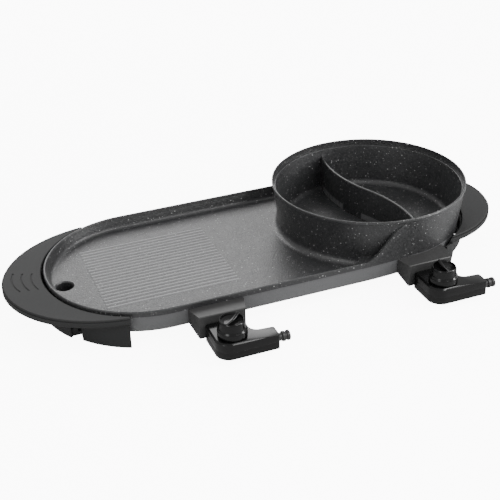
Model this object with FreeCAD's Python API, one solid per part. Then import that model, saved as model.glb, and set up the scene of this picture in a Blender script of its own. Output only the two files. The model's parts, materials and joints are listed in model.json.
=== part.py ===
import FreeCAD, Part
import os
from math import acos, asin, atan2, cos, degrees, radians, sin, sqrt, tan

# Table-top electric grill with a divided hot pot, cast as one plate.
# Millimetres, +Z up.  The pieces are drawn about the centre of the plate and are
# moved along Y as they are written, so that the row's origin is the middle of the
# object's footprint, on the table.  The round ends of the plate lie towards -X (the
# drain end) and +X (the pot end); the plug-in thermostats are on the -Y side.

# ---- plate -----------------------------------------------------------------------
PLATE_HALF_WIDTH = 140.0
END_CENTRE_X = 175.0          # centre of each round end; the pot shares the right one
RIM_HEIGHT = 54.0
RIM_LIP = 3.5                 # flat top of the rim
RIM_BAND = 8.0                # height of the proud band round the rim
BAND_STEP = 1.2
RIM_ROUND = 1.5               # rounding of both edges of the rim
DRAIN_BREAK = 1.6             # countersink round the drain hole
WALL_BOTTOM = 22.0
WALL_LEAN = 4.0               # how far the outer wall leans in from rim to bottom
WALL_THICKNESS = 4.0
FLOOR_TOP = 37.0
FLOOR_THICKNESS = 4.5
INNER_LEAN = 6.0              # the same for the inside of the rim wall
FLOOR_ROUND = 5.0             # fillet between the grill floor and the rim wall
RIDGE_PITCH = 8.0
RIDGE_COUNT = 21
RIDGE_HEIGHT = 1.0
RIDGE_FOOT = 4.4
RIDGE_CREST = 1.6
RIDGE_START = 75.0            # beyond the left end centre
RIDGE_END = 112.0             # short of the left end centre
DRAIN_RADIUS = 12.0
DRAIN_OFFSET = 115.0          # from the left end centre
SPOUT_WALL = 2.2

# ---- pot -------------------------------------------------------------------------
POT_OVERHANG = 3.0            # pot rim beyond the plate's half width
POT_RIM_HEIGHT = 109.0
POT_LEAN = 11.0               # how far the pot wall leans in below its bead
POT_BEAD_HEIGHT = 5.0
POT_BEAD_STEP = 1.0
BEAD_ROUND = 1.2              # outer rounding of the pot's bead
LIP_ROUND = 0.8               # inner rounding of the bead and of the ledge
POT_WALL = 4.5
POT_LIP = 2.2                 # wall left above the lid ledge
LEDGE_DROP = 9.0
POT_FLOOR_ROUND = 9.0
COVE_ROUND = 9.0              # hollow fillet at the pot's foot on the grill floor
DIVIDER_THICKNESS = 4.0
DIVIDER_DROP = 20.0           # divider top below the pot rim
DIVIDER_BULGE_X = 18.0        # sideways swing of the S, a quarter of the way along
DIVIDER_BULGE_Y = 76.0
DIVIDER_END_X = 10.0

# ---- sweep that carries the plate's rim up to the pot's --------------------------
BLEND_BACK = 75.0             # where the side wall starts to curve, before the pot centre
JOIN_AHEAD = 15.0             # where it has sunk into the pot wall, past the pot centre
JOIN_SINK = 0.8
SWEEP_START = 74.0            # foot of the sweep's S on the rim, before the pot centre
SWEEP_LOW_HANDLE = 47.0
SWEEP_HIGH_HANDLE = 34.0
SWEEP_TOP = 7.0
SWEEP_PROUD = 0.6
SWEEP_WALL = 5.0              # thickness of the sweep where it meets the pot's bead
WEB_DROP = 2.0                # web behind the sweep, below the rim
WEB_START = 92.5              # its slanted front edge at the rim, before the pot centre
WEB_WIDTH = 27.0              # from the rim in to the pot wall

# ---- heaters and sockets ---------------------------------------------------------
ELEMENT_RADIUS = 3.3
ELEMENT_DROP = 3.9            # element centre below the underside of the floor
CHANNEL_WIDTH = 12.0
CHANNEL_DEPTH = 5.5
PRESS_CLEARANCE = 0.15
GRILL_LOOP_HALF_WIDTH = 95.0
GRILL_LOOP_LEFT = 80.0        # beyond the left end centre
GRILL_LOOP_RIGHT = 160.0      # short of the pot centre
GRILL_LOOP_ROUND = 88.0
GRILL_LOOP_CORNER = 40.0
POT_RING_SET_IN = 52.0        # heater ring inside the plate's half width
END_BEND = 12.0
PIN_SPACING = 26.0
PIN_RADIUS = 2.0
PIN_TIP_DEPTH = 6.0           # pin tip behind the guard's front face
PIN_ROOT_DEPTH = 23.0         # heater end behind the guard's front face
INSULATOR_RADIUS = 4.4
INSULATOR_LENGTH = 4.0
GRILL_SOCKET_X = -118.0
POT_SOCKET_SET_IN = 123.0     # pot socket inside the plate's right end
GRILL_SOCKET_REACH = 24.5     # guard front beyond the plate's half width
POT_SOCKET_REACH = 19.5
POCKET_OUTER = 7.0
POCKET_START = 40.0
POCKET_LENGTH = 38.0
NOTCH_HALF_WIDTH = 21.0
NOTCH_START = 10.0
NOTCH_LENGTH = 33.0

# ---- socket guards ---------------------------------------------------------------
GUARD_FRONT_HALF = 32.0
GUARD_FLARE = 6.5             # extra half width at the plate
GUARD_DEPTH = 22.0
GUARD_REACH = 20.0            # straight part of the sides behind the flare
GUARD_TOP = 45.5
GUARD_BOTTOM = 13.0
GUARD_RISE = 11.0             # rise of the slanted underside
GUARD_WALL = 3.0
GUARD_EDGE = 1.0
GUARD_GAP = 0.6               # guard to cast wall
TAB_HALF_WIDTH = 5.5
TAB_THICKNESS = 2.8
TAB_OFFSET = 26.5
BOSS_SINK = 0.6               # seat of every tab below the wall's bottom edge
GRILL_TAB_REACH = 44.0
POT_TAB_REACH = 50.0
BOSS_RADIUS = 5.0

# ---- screws ----------------------------------------------------------------------
M4_SHANK = 1.9
M4_HEAD = 3.8
M4_HEAD_HEIGHT = 2.3
M4_CLEAR = 2.3
M4_TAPPED = 2.0
M4_GRIP = 8.0                 # screw length in the boss
TAPPED_DEPTH = 9.0
SMALL_SHANK = 1.45
SMALL_HEAD = 2.8
SMALL_HEAD_HEIGHT = 1.9
SMALL_CLEAR = 1.7
SMALL_TAPPED = 1.55
HEAD_CLEARANCE = 0.4

# ---- handles ---------------------------------------------------------------------
HANDLE_OFFSET = 36.0          # drain-end ellipse centre beyond the end centre
HANDLE_REACH = 58.5           # its end beyond the plate's end
HANDLE_INSET = 1.5            # its half width less than the plate's
HANDLE_TIP = 58.0             # its tip beyond the end centre
POT_HANDLE_OFFSET = 58.0      # the same for the smaller pot-end handle
POT_HANDLE_REACH = 53.5
POT_HANDLE_INSET = 19.5
POT_HANDLE_TIP = 73.0
POT_HANDLE_TUCK = 3.0         # how much closer in the pot-end handle and legs sit
GAP_LIP_THICKNESS = 2.0       # foot of the wall that closes the gap to the pot
GAP_LIP_CLEARANCE = 0.6
HANDLE_GAP = 3.5              # inner edge to the plate's rim
HANDLE_TOP = 51.0
HANDLE_BAND_BOTTOM = 40.0
COVER_THICKNESS = 3.0
COVER_SET_BACK = 1.5
COVER_EDGE = 1.0
HANDLE_WALL = 2.5
BAND_ROUND = 2.0
LIP_DEPTH = 2.5
LIP_WALL = 1.6
LIP_CLEARANCE = 0.25
GRIP_REACH = 43.0             # outermost grip arc beyond the plate's end
GRIP_PITCH = 12.7
GRIP_COUNT = 3
GRIP_RADIUS = 60.0
GRIP_HALF_LENGTH = 27.0
GRIP_SHORTENING = 1.7         # each arc's half length less than the last one's
GRIP_CENTRE_Y = 12.6
GRIP_DRIFT = 3.7              # each arc's centre nearer the long axis
GRIP_WIDTH = 2.4
GRIP_DEPTH = 0.9
SKIRT_CLEARANCE = 1.0         # skirt to the plate's rim band
SKIRT_THICKNESS = 3.0
SKIRT_BOTTOM = 1.5
SKIRT_TOP = 44.0
POT_LEG_START = 63.0          # pot-end leg's edge beyond the end centre
POT_LEG_SET_IN = 50.0         # its free edge inside the plate's end
POT_LEG_TAPER = 14.0
DRAIN_FOOT_ANGLE = 54.6       # feet and screws, measured from the long axis
POT_FOOT_ANGLE = 58.0
FOOT_RADIUS = 6.5
FOOT_HEIGHT = 3.0
FOOT_STEM_RADIUS = 2.9
FOOT_STEM_LENGTH = 6.0
FOOT_SEAT_RADIUS = 7.6
FOOT_SEAT_SET_IN = 7.0        # seat centre inside the skirt
STEM_CLEARANCE = 0.1
HANDLE_TAB_HALF = 9.0
HANDLE_TAB_THICKNESS = 3.9
HANDLE_BOSS_SET_IN = 21.0     # screw boss inside the plate's half width
COVER_POST_RADIUS = 4.0
COVER_POST_WIDE_Y = 70.0
COVER_SCREW_LENGTH = 5.0

# ---- drip tray -------------------------------------------------------------------
TRAY_SET_IN = 62.0            # tray's side inside the plate's side
TRAY_PANEL_OVERLAP = 3.0      # panel beyond each side of the tray
TRAY_PANEL_GAP = 8.0          # panel's inside beyond the plate's half width
TRAY_PANEL_THICKNESS = 3.0
TRAY_PANEL_TOP = 38.5
TRAY_BOTTOM = 5.0
TRAY_TOP = 16.8
TRAY_WALL = 2.0
TRAY_BACK = 39.0              # back wall beyond the left end centre
TRAY_ROUND = 6.0
RUNNER_WIDTH = 6.5
RUNNER_THICKNESS = 2.0
RUNNER_Z = 12.2
RUNNER_CLEARANCE = 0.4
RUNNER_REST = 0.05            # running gap under the runner
GUIDE_THICKNESS = 3.0
GUIDE_LEDGE = 2.0
GUIDE_BACK = 32.0             # guide's inner end beyond the left end centre
GUIDE_BOTTOM = 7.5

# ---- thermostat probes -----------------------------------------------------------
PROBE_GAP = 0.5               # body to guard front
PROBE_HALF_WIDTH = 25.5
PROBE_LENGTH = 58.0
ARM_LENGTH = 31.0             # arm beyond the body's side
ARM_DEPTH = 22.0
OUTER_CORNER = 19.0
INNER_CORNER = 12.0
SMALL_CORNER = 3.0
SHARPEST_CORNER = 0.4
PROBE_BOTTOM = 11.0
PROBE_SPLIT = 21.5
PROBE_TOP = 35.0
PROBE_BEVEL = 2.2
ARM_DROP = 3.5                # the arm's top falls away to its end
SHELL_WALL = 2.0
SHELL_POST = 3.6
POST_SINK = 0.8               # screw posts run this far into the shell's wall
NOSE_HALF_WIDTH = 20.0
NOSE_BOTTOM = 16.0
NOSE_TOP = 32.8
NOSE_REACH = 18.0             # into the guard
NOSE_ROOT = 8.0               # into the body
NOSE_CLEARANCE = 0.5
CONTACT_OUTER = 3.0
CONTACT_CLEARANCE = 0.1
CONTACT_INSET = 2.0
CONTACT_TAIL = 4.0
ROD_RADIUS = 3.9
ROD_Z = 24.0
ROD_CLEARANCE = 0.1
KNOB_SETBACK = 35.5           # knob axis in front of the guard
THERMOSTAT_HALF_WIDTH = 9.0
THERMOSTAT_LENGTH = 20.0
THERMOSTAT_BOTTOM = 15.0
THERMOSTAT_TOP = 29.0
RELIEF_NECK = 5.4
RELIEF_FLANGE = 6.9
RELIEF_BORE = 3.5
RELIEF_LENGTH = 17.0
RELIEF_ROOT = 6.0
RELIEF_Z = 21.0
RELIEF_CLEARANCE = 0.1

# ---- knobs -----------------------------------------------------------------------
SPINDLE_RADIUS = 3.0
SPINDLE_CLEARANCE = 0.08
SPINDLE_FLAT = 0.8
KNOB_LIFT = 0.5
KNOB_RADIUS = 19.8
KNOB_SKIRT_HEIGHT = 11.0
KNOB_TOP_RADIUS = 16.2
KNOB_HEIGHT = 22.0
KNOB_EDGE = 1.2
KNOB_WELL_RADIUS = 13.8
KNOB_WELL_DEPTH = 3.5
KNOB_BAR_WIDTH = 5.5
KNOB_BAR_RISE = 3.2
KNOB_WALL = 2.5

# ---- sizes that follow ----------------------------------------------------------
FLOOR_UNDER = FLOOR_TOP - FLOOR_THICKNESS
FLOOR_MIDDLE = FLOOR_TOP - FLOOR_THICKNESS / 2
ELEMENT_Z = FLOOR_UNDER - ELEMENT_DROP
POT_RIM_RADIUS = PLATE_HALF_WIDTH + POT_OVERHANG
POT_BEAD_BOTTOM = POT_RIM_HEIGHT - POT_BEAD_HEIGHT
POT_RING_RADIUS = PLATE_HALF_WIDTH - POT_RING_SET_IN
TAB_SEAT = WALL_BOTTOM - BOSS_SINK
COVER_BOTTOM = HANDLE_TOP - COVER_THICKNESS
GRILL_FRONT = -(PLATE_HALF_WIDTH + GRILL_SOCKET_REACH)
POT_FRONT = -(PLATE_HALF_WIDTH + POT_SOCKET_REACH)
POT_SOCKET_X = END_CENTRE_X + PLATE_HALF_WIDTH - POT_SOCKET_SET_IN
TRAY_HALF_WIDTH = PLATE_HALF_WIDTH - TRAY_SET_IN
TRAY_PANEL_HALF = TRAY_HALF_WIDTH + TRAY_PANEL_OVERLAP
RUNNER_EDGE = TRAY_HALF_WIDTH + RUNNER_WIDTH + RUNNER_CLEARANCE
GUIDE_EDGE = RUNNER_EDGE + GUIDE_THICKNESS
NEAR_EDGE = min(GRILL_FRONT, POT_FRONT) - PROBE_GAP - PROBE_LENGTH
CENTRE_SHIFT_X = (HANDLE_REACH - POT_HANDLE_REACH) / 2
CENTRE_SHIFT_Y = -(NEAR_EDGE + POT_RIM_RADIUS) / 2
FAR = 400.0                   # longer than anything it cuts
OVERCUT = 1.0
ROUND_STEPS = 3               # flats that stand for a quarter round of the plate's outline

Z_AXIS = FreeCAD.Vector(0, 0, 1)
Y_AXIS = FreeCAD.Vector(0, 1, 0)
X_AXIS = FreeCAD.Vector(1, 0, 0)


# ---- drawing helpers -------------------------------------------------------------
def vec(x, y, z=0.0):
    return FreeCAD.Vector(x, y, z)


def box(x0, x1, y0, y1, z0, z1):
    return Part.makeBox(x1 - x0, y1 - y0, z1 - z0, vec(x0, y0, z0))


def cylinder(x, y, radius, z0, z1):
    return Part.makeCylinder(radius, z1 - z0, vec(x, y, z0))


def rod_along_y(x, z, radius, y0, y1):
    return Part.makeCylinder(radius, y1 - y0, vec(x, y0, z), Y_AXIS)


def rod_along_x(y, z, radius, x0, x1):
    return Part.makeCylinder(radius, x1 - x0, vec(x0, y, z), X_AXIS)


def fuse(shapes):
    return shapes[0].multiFuse(shapes[1:]).removeSplitter()


def mirror_x(shape):
    return shape.mirror(vec(0, 0), X_AXIS)


def mirror_y(shape):
    return shape.mirror(vec(0, 0), Y_AXIS)


def line(a, b):
    return Part.LineSegment(a, b).toShape()


def prism(edges, height):
    """Solid above a closed outline drawn in a horizontal plane."""
    return Part.Face(Part.Wire(edges)).extrude(vec(0, 0, height))


def side_prism(points, y0, y1):
    """Solid along Y from (x, z) corners."""
    corners = [vec(x, y0, z) for x, z in points]
    wire = Part.makePolygon(corners + corners[:1])
    return Part.Face(wire).extrude(vec(0, y1 - y0, 0))


def end_prism(points, x0, x1):
    """Solid along X from (y, z) corners."""
    corners = [vec(x0, y, z) for y, z in points]
    wire = Part.makePolygon(corners + corners[:1])
    return Part.Face(wire).extrude(vec(x1 - x0, 0, 0))


def loft(lower, upper):
    return Part.makeLoft([Part.Wire(lower), Part.Wire(upper)], True, True)


def ring_sector(centre_x, inner, outer, z0, z1, start, sweep):
    """Part of a ring about (centre_x, 0); angles in degrees from +X."""
    base = vec(centre_x, 0, z0)
    sector = Part.makeCylinder(outer, z1 - z0, base, Z_AXIS, sweep)
    sector.rotate(base, Z_AXIS, start)
    return sector.cut(cylinder(centre_x, 0, inner, z0 - OVERCUT, z1 + OVERCUT))


def corner_arc(before, corner, after, radius):
    """Start, middle and end of the round that replaces a corner."""
    way_in = (corner - before).normalize()
    way_out = (after - corner).normalize()
    half_turn = way_in.getAngle(way_out) / 2
    setback = radius * tan(half_turn)
    to_centre = (way_out - way_in).normalize()
    middle = corner + to_centre * (radius / cos(half_turn) - radius)
    return corner - way_in * setback, middle, corner + way_out * setback


def rounded_path(points, radii):
    """Open chain of lines and tangent arcs; one radius for each inner point."""
    edges = []
    here = points[0]
    for index, radius in enumerate(radii, start=1):
        before, corner, after = points[index - 1:index + 2]
        start, middle, end = corner_arc(before, corner, after, radius)
        edges.append(line(here, start))
        edges.append(Part.Arc(start, middle, end).toShape())
        here = end
    edges.append(line(here, points[-1]))
    return edges


def rounded_outline(points, radii):
    """Closed outline; each corner has its own radius, and 0 leaves it sharp."""
    rounds = []
    for index, radius in enumerate(radii):
        after = points[(index + 1) % len(points)]
        rounds.append(corner_arc(points[index - 1], points[index], after, radius))
    edges = []
    for index, (start, middle, end) in enumerate(rounds):
        edges.append(line(rounds[index - 1][2], start))
        if radii[index]:
            edges.append(Part.Arc(start, middle, end).toShape())
    return edges


def sweep(edges, profile):
    return Part.Wire(edges).makePipeShell([profile], True, False)


def tube(edges, radius):
    """Round bar along a path that starts along +Y."""
    start = edges[0].Vertexes[0].Point
    return sweep(edges, Part.Wire([Part.makeCircle(radius, start, Y_AXIS)]))


def flat_bar(edges, width, z0, z1):
    """Upright bar along a path that starts along +Y."""
    start = edges[0].Vertexes[0].Point
    corners = [vec(start.x + dx, start.y, z) for dx, z in
               ((-width / 2, z0), (width / 2, z0), (width / 2, z1), (-width / 2, z1))]
    return sweep(edges, Part.makePolygon(corners + corners[:1]))


def screw(x, y, z_seat, shank, length, head, head_height):
    """Screw pushed up into its boss, its head under z_seat."""
    body = cylinder(x, y, shank, z_seat - head_height / 2, z_seat + length)
    return fuse([body, cylinder(x, y, head, z_seat - head_height, z_seat)])


# ---- casting ---------------------------------------------------------------------
def pot_radius(z):
    """Outside of the pot wall; it leans out as it rises to the bead."""
    top = POT_RIM_RADIUS - POT_BEAD_STEP
    rise = (POT_BEAD_BOTTOM - z) / (POT_BEAD_BOTTOM - WALL_BOTTOM)
    return top - POT_LEAN * rise


def wall_inset(z):
    """Lean of the plate's outer wall below its rim band."""
    band_bottom = RIM_HEIGHT - RIM_BAND
    share = (band_bottom - z) / (band_bottom - WALL_BOTTOM)
    return BAND_STEP + (WALL_LEAN - BAND_STEP) * share


def plate_outline(z, inset, pot_inset=0.0):
    """Stadium outline whose sides curve in to meet the pot wall."""
    half = PLATE_HALF_WIDTH - inset
    blend_x = END_CENTRE_X - BLEND_BACK
    join_x = END_CENTRE_X + JOIN_AHEAD
    join_y = sqrt((pot_radius(z) - pot_inset) ** 2 - JOIN_AHEAD ** 2) - JOIN_SINK
    middle_x = (blend_x + join_x) / 2
    near = Part.BezierCurve()
    near.setPoles([vec(blend_x, -half, z), vec(middle_x, -half, z), vec(join_x, -join_y, z)])
    far = Part.BezierCurve()
    far.setPoles([vec(join_x, join_y, z), vec(middle_x, half, z), vec(blend_x, half, z)])
    end = Part.Arc(vec(-END_CENTRE_X, half, z), vec(-END_CENTRE_X - half, 0, z),
                   vec(-END_CENTRE_X, -half, z))
    return [line(vec(-END_CENTRE_X, -half, z), vec(blend_x, -half, z)),
            near.toShape(),
            line(vec(join_x, -join_y, z), vec(join_x, join_y, z)),
            far.toShape(),
            line(vec(blend_x, half, z), vec(-END_CENTRE_X, half, z)),
            end.toShape()]


def revolve(points):
    """Solid of revolution about the pot's axis from (radius, z, rounding) corners."""
    corners = [vec(END_CENTRE_X + r, 0, z) for r, z, rounding in points]
    outline = rounded_outline(corners, [rounding for r, z, rounding in points])
    return Part.Face(Part.Wire(outline)).revolve(vec(END_CENTRE_X, 0), Z_AXIS, 360)


def quarter_round(radius):
    """Points of a quarter round as (rise, run) from where it leaves the vertical."""
    angles = [radians(90 * step / ROUND_STEPS) for step in range(ROUND_STEPS + 1)]
    return [(radius * sin(angle), radius * (1 - cos(angle))) for angle in angles]


def stacked_lofts(sections):
    """Solid through plate outlines given as (z, inset), one above the other."""
    layers = []
    for (low, low_inset), (high, high_inset) in zip(sections, sections[1:]):
        layers.append(loft(plate_outline(low, low_inset), plate_outline(high, high_inset)))
    return layers


def sweep_side(foot_z):
    """Side view of the sweep: an S from the plate's rim up to the pot's bead."""
    start = vec(END_CENTRE_X - SWEEP_START, -FAR, RIM_HEIGHT)
    top = vec(END_CENTRE_X - SWEEP_TOP, -FAR, POT_BEAD_BOTTOM)
    curve = Part.BezierCurve()
    curve.setPoles([start, vec(END_CENTRE_X - SWEEP_LOW_HANDLE, -FAR, RIM_HEIGHT),
                    vec(END_CENTRE_X - SWEEP_HIGH_HANDLE, -FAR, POT_BEAD_BOTTOM), top])
    end_x = END_CENTRE_X + JOIN_AHEAD + OVERCUT
    high = vec(end_x, -FAR, POT_BEAD_BOTTOM)
    low = vec(end_x, -FAR, foot_z)
    foot = vec(start.x, -FAR, foot_z)
    edges = [line(foot, start), curve.toShape(), line(top, high), line(high, low), line(low, foot)]
    return Part.Face(Part.Wire(edges)).extrude(vec(0, 2 * FAR, 0))


def rim_sweep():
    """Thin walls that carry the plate's rim up to the pot's bead, one on each side."""
    foot_z = RIM_HEIGHT - RIM_ROUND
    proud = PLATE_HALF_WIDTH - pot_radius(POT_BEAD_BOTTOM) - SWEEP_PROUD
    outside = loft(plate_outline(foot_z, 0), plate_outline(POT_BEAD_BOTTOM, proud))
    inside = loft(plate_outline(foot_z, RIM_LIP, RIM_LIP),
                  plate_outline(POT_BEAD_BOTTOM, proud + SWEEP_WALL, SWEEP_WALL))
    return outside.cut(inside).common(sweep_side(foot_z))


def sweep_webs():
    """Blocks that close the narrow corners behind the sweep, up to just below the rim."""
    foot_z = FLOOR_TOP - OVERCUT
    start_x = END_CENTRE_X - WEB_START
    end_x = END_CENTRE_X + JOIN_AHEAD + OVERCUT
    inner_y = WEB_WIDTH - PLATE_HALF_WIDTH
    corners = [vec(start_x, -PLATE_HALF_WIDTH, foot_z), vec(end_x, -PLATE_HALF_WIDTH, foot_z),
               vec(end_x, inner_y, foot_z), vec(start_x + WEB_WIDTH, inner_y, foot_z)]
    near = prism(rounded_outline(corners, [0, 0, 0, 0]), RIM_HEIGHT - WEB_DROP - foot_z)
    return near.fuse(mirror_y(near))


def casting_envelope():
    """Outside of the casting, solid through."""
    band_bottom = RIM_HEIGHT - RIM_BAND
    lower = loft(plate_outline(WALL_BOTTOM, WALL_LEAN), plate_outline(band_bottom, BAND_STEP))
    round_z = RIM_HEIGHT - RIM_ROUND
    rounded = [(round_z + rise, run) for rise, run in quarter_round(RIM_ROUND)]
    rim = stacked_lofts([(band_bottom, 0)] + rounded)
    base_radius = pot_radius(WALL_BOTTOM)
    upper_radius = pot_radius(POT_BEAD_BOTTOM)
    pot = revolve([(0, WALL_BOTTOM, 0), (base_radius, WALL_BOTTOM, 0),
                   (upper_radius, POT_BEAD_BOTTOM, 0), (POT_RIM_RADIUS, POT_BEAD_BOTTOM + POT_BEAD_STEP, 0),
                   (POT_RIM_RADIUS, POT_RIM_HEIGHT, BEAD_ROUND), (0, POT_RIM_HEIGHT, 0)])
    return fuse([lower] + rim + [pot, rim_sweep()])


def grill_hollow():
    """Space over the grill floor, ending at the pot's coved foot and the sweep."""
    round_z = RIM_HEIGHT - RIM_ROUND
    mouth = [(round_z + rise, RIM_LIP - run) for rise, run in quarter_round(RIM_ROUND)]
    fillet_top = FLOOR_TOP + FLOOR_ROUND
    lean = INNER_LEAN * (round_z - fillet_top) / (round_z - FLOOR_TOP)
    fillet = [(fillet_top - rise, RIM_LIP + lean + run) for rise, run in quarter_round(FLOOR_ROUND)]
    above = (RIM_HEIGHT + OVERCUT, RIM_LIP - RIM_ROUND)
    body = fuse(stacked_lofts(fillet[::-1] + mouth + [above]))
    low = pot_radius(FLOOR_TOP)
    pot = revolve([(0, FLOOR_TOP - OVERCUT, 0), (low + 2 * COVE_ROUND, FLOOR_TOP - OVERCUT, 0),
                   (low + 2 * COVE_ROUND, FLOOR_TOP, 0), (low, FLOOR_TOP, COVE_ROUND),
                   (pot_radius(POT_BEAD_BOTTOM), POT_BEAD_BOTTOM, 0), (0, POT_BEAD_BOTTOM, 0)])
    return body.cut(fuse([pot, sweep_webs(), rim_sweep()]))


def divider():
    """S-shaped wall across the pot: two arcs that meet at the pot's centre."""
    reach = sqrt(POT_RIM_RADIUS ** 2 - DIVIDER_END_X ** 2)
    centre = vec(END_CENTRE_X, 0, FLOOR_TOP)
    near_end = centre + vec(DIVIDER_END_X, -reach)
    near_bulge = centre + vec(DIVIDER_BULGE_X, -DIVIDER_BULGE_Y)
    far_bulge = centre - vec(DIVIDER_BULGE_X, -DIVIDER_BULGE_Y)
    far_end = centre - vec(DIVIDER_END_X, -reach)
    near = Part.Arc(near_end, near_bulge, centre).toShape()
    far = Part.Arc(centre, far_bulge, far_end).toShape()
    half = DIVIDER_THICKNESS / 2
    crest = POT_RIM_HEIGHT - DIVIDER_DROP - FLOOR_TOP
    left_foot = near_end + vec(-half, 0, -OVERCUT)
    right_foot = near_end + vec(half, 0, -OVERCUT)
    left_top = near_end + vec(-half, 0, crest - half)
    right_top = near_end + vec(half, 0, crest - half)
    profile = [line(left_foot, right_foot), line(right_foot, right_top),
               Part.Arc(right_top, near_end + vec(0, 0, crest), left_top).toShape(),
               line(left_top, left_foot)]
    return sweep([near, far], Part.Wire(profile))


def pot_hollow():
    """Inside of the pot, with its lid ledge, less the divider."""
    ledge_z = POT_RIM_HEIGHT - LEDGE_DROP
    lip_radius = POT_RIM_RADIUS - POT_LIP
    mouth_radius = lip_radius + 2 * LIP_ROUND
    above = POT_RIM_HEIGHT + OVERCUT
    body = revolve([(0, FLOOR_TOP, 0), (pot_radius(FLOOR_TOP) - POT_WALL, FLOOR_TOP, POT_FLOOR_ROUND),
                    (pot_radius(ledge_z) - POT_WALL, ledge_z, LIP_ROUND), (lip_radius, ledge_z, 0),
                    (lip_radius, POT_RIM_HEIGHT, LIP_ROUND), (mouth_radius, POT_RIM_HEIGHT, 0),
                    (mouth_radius, above, 0), (0, above, 0)])
    return body.cut(divider())


def underside_hollow():
    low = WALL_BOTTOM - OVERCUT
    plate = loft(plate_outline(low, wall_inset(low) + WALL_THICKNESS, WALL_THICKNESS),
                 plate_outline(FLOOR_UNDER, wall_inset(FLOOR_UNDER) + WALL_THICKNESS, WALL_THICKNESS))
    pot = revolve([(0, low, 0), (pot_radius(low) - WALL_THICKNESS, low, 0),
                   (pot_radius(FLOOR_UNDER) - WALL_THICKNESS, FLOOR_UNDER, 0), (0, FLOOR_UNDER, 0)])
    return plate.fuse(pot)


def grill_ridges():
    """Low ribs along the grill floor."""
    foot = RIDGE_FOOT / 2
    crest = RIDGE_CREST / 2
    ridges = []
    for index in range(RIDGE_COUNT):
        y = (index - (RIDGE_COUNT - 1) / 2) * RIDGE_PITCH
        points = [(y - foot, FLOOR_TOP - RIDGE_HEIGHT), (y + foot, FLOOR_TOP - RIDGE_HEIGHT),
                  (y + foot, FLOOR_TOP), (y + crest, FLOOR_TOP + RIDGE_HEIGHT),
                  (y - crest, FLOOR_TOP + RIDGE_HEIGHT), (y - foot, FLOOR_TOP)]
        ridges.append(end_prism(points, -END_CENTRE_X - RIDGE_START, -END_CENTRE_X + RIDGE_END))
    return ridges


def grill_loop():
    """Heater path: in at one pin, round the grill floor and out at the other."""
    half_pins = PIN_SPACING / 2
    end_y = GRILL_FRONT + PIN_ROOT_DEPTH
    left_x = -END_CENTRE_X - GRILL_LOOP_LEFT
    right_x = END_CENTRE_X - GRILL_LOOP_RIGHT
    half = GRILL_LOOP_HALF_WIDTH
    places = [(GRILL_SOCKET_X - half_pins, end_y), (GRILL_SOCKET_X - half_pins, -half),
              (left_x, -half), (left_x, half), (right_x, half), (right_x, -half),
              (GRILL_SOCKET_X + half_pins, -half), (GRILL_SOCKET_X + half_pins, end_y)]
    radii = [END_BEND, GRILL_LOOP_ROUND, GRILL_LOOP_ROUND,
             GRILL_LOOP_CORNER, GRILL_LOOP_CORNER, END_BEND]
    return rounded_path([vec(x, y, ELEMENT_Z) for x, y in places], radii)


def ring_turn(pin_x, side):
    """Bend from a straight pin end onto the pot's ring; side is -1 left, +1 right."""
    centre_x = pin_x + side * END_BEND
    reach = POT_RING_RADIUS + END_BEND
    centre_y = -sqrt(reach ** 2 - (centre_x - END_CENTRE_X) ** 2)
    angle = atan2(centre_y, centre_x - END_CENTRE_X)
    on_ring = vec(END_CENTRE_X + POT_RING_RADIUS * cos(angle), POT_RING_RADIUS * sin(angle), ELEMENT_Z)
    on_line = vec(pin_x, centre_y, ELEMENT_Z)
    bend_centre = vec(centre_x, centre_y, ELEMENT_Z)
    to_middle = ((on_ring - bend_centre).normalize() + (on_line - bend_centre).normalize()).normalize()
    middle = bend_centre + to_middle * END_BEND
    return on_line, middle, on_ring


def pot_loop():
    """Heater path: in at one pin, round a ring under the pot and out at the other."""
    left_x = POT_SOCKET_X - PIN_SPACING / 2
    right_x = POT_SOCKET_X + PIN_SPACING / 2
    end_y = POT_FRONT + PIN_ROOT_DEPTH
    left_line, left_middle, left_ring = ring_turn(left_x, -1)
    right_line, right_middle, right_ring = ring_turn(right_x, 1)
    ring_top = vec(END_CENTRE_X, POT_RING_RADIUS, ELEMENT_Z)
    return [line(vec(left_x, end_y, ELEMENT_Z), left_line),
            Part.Arc(left_line, left_middle, left_ring).toShape(),
            Part.Arc(left_ring, ring_top, right_ring).toShape(),
            Part.Arc(right_ring, right_middle, right_line).toShape(),
            line(right_line, vec(right_x, end_y, ELEMENT_Z))]


def heater_channel(path):
    return flat_bar(path, CHANNEL_WIDTH, FLOOR_UNDER - CHANNEL_DEPTH, FLOOR_MIDDLE)


def sensor_pocket(x, front):
    """Blind sleeve under the floor that takes the probe's rod, and the web above it."""
    start = front + POCKET_START
    sleeve = rod_along_y(x, ROD_Z, POCKET_OUTER, start, start + POCKET_LENGTH)
    web = box(x - POCKET_OUTER / 2, x + POCKET_OUTER / 2, start, start + POCKET_LENGTH,
              ROD_Z, FLOOR_MIDDLE)
    return [sleeve, web]


def sensor_bore(x, front):
    start = front + POCKET_START
    end = start + POCKET_LENGTH - POT_WALL
    return rod_along_y(x, ROD_Z, ROD_RADIUS + ROD_CLEARANCE, start - OVERCUT, end)


def socket_notch(x, front):
    """Gap in the cast wall that lets the heater ends and the probe through."""
    start = front + NOTCH_START
    return box(x - NOTCH_HALF_WIDTH, x + NOTCH_HALF_WIDTH, start, start + NOTCH_LENGTH,
               WALL_BOTTOM - POCKET_OUTER, FLOOR_UNDER)


def guard_screw_places():
    grill_y = GRILL_FRONT + GRILL_TAB_REACH
    pot_y = POT_FRONT + POT_TAB_REACH
    grill = [(GRILL_SOCKET_X - TAB_OFFSET, grill_y), (GRILL_SOCKET_X + TAB_OFFSET, grill_y)]
    pot = [(POT_SOCKET_X - TAB_OFFSET, pot_y), (POT_SOCKET_X + TAB_OFFSET, pot_y)]
    return grill, pot


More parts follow.
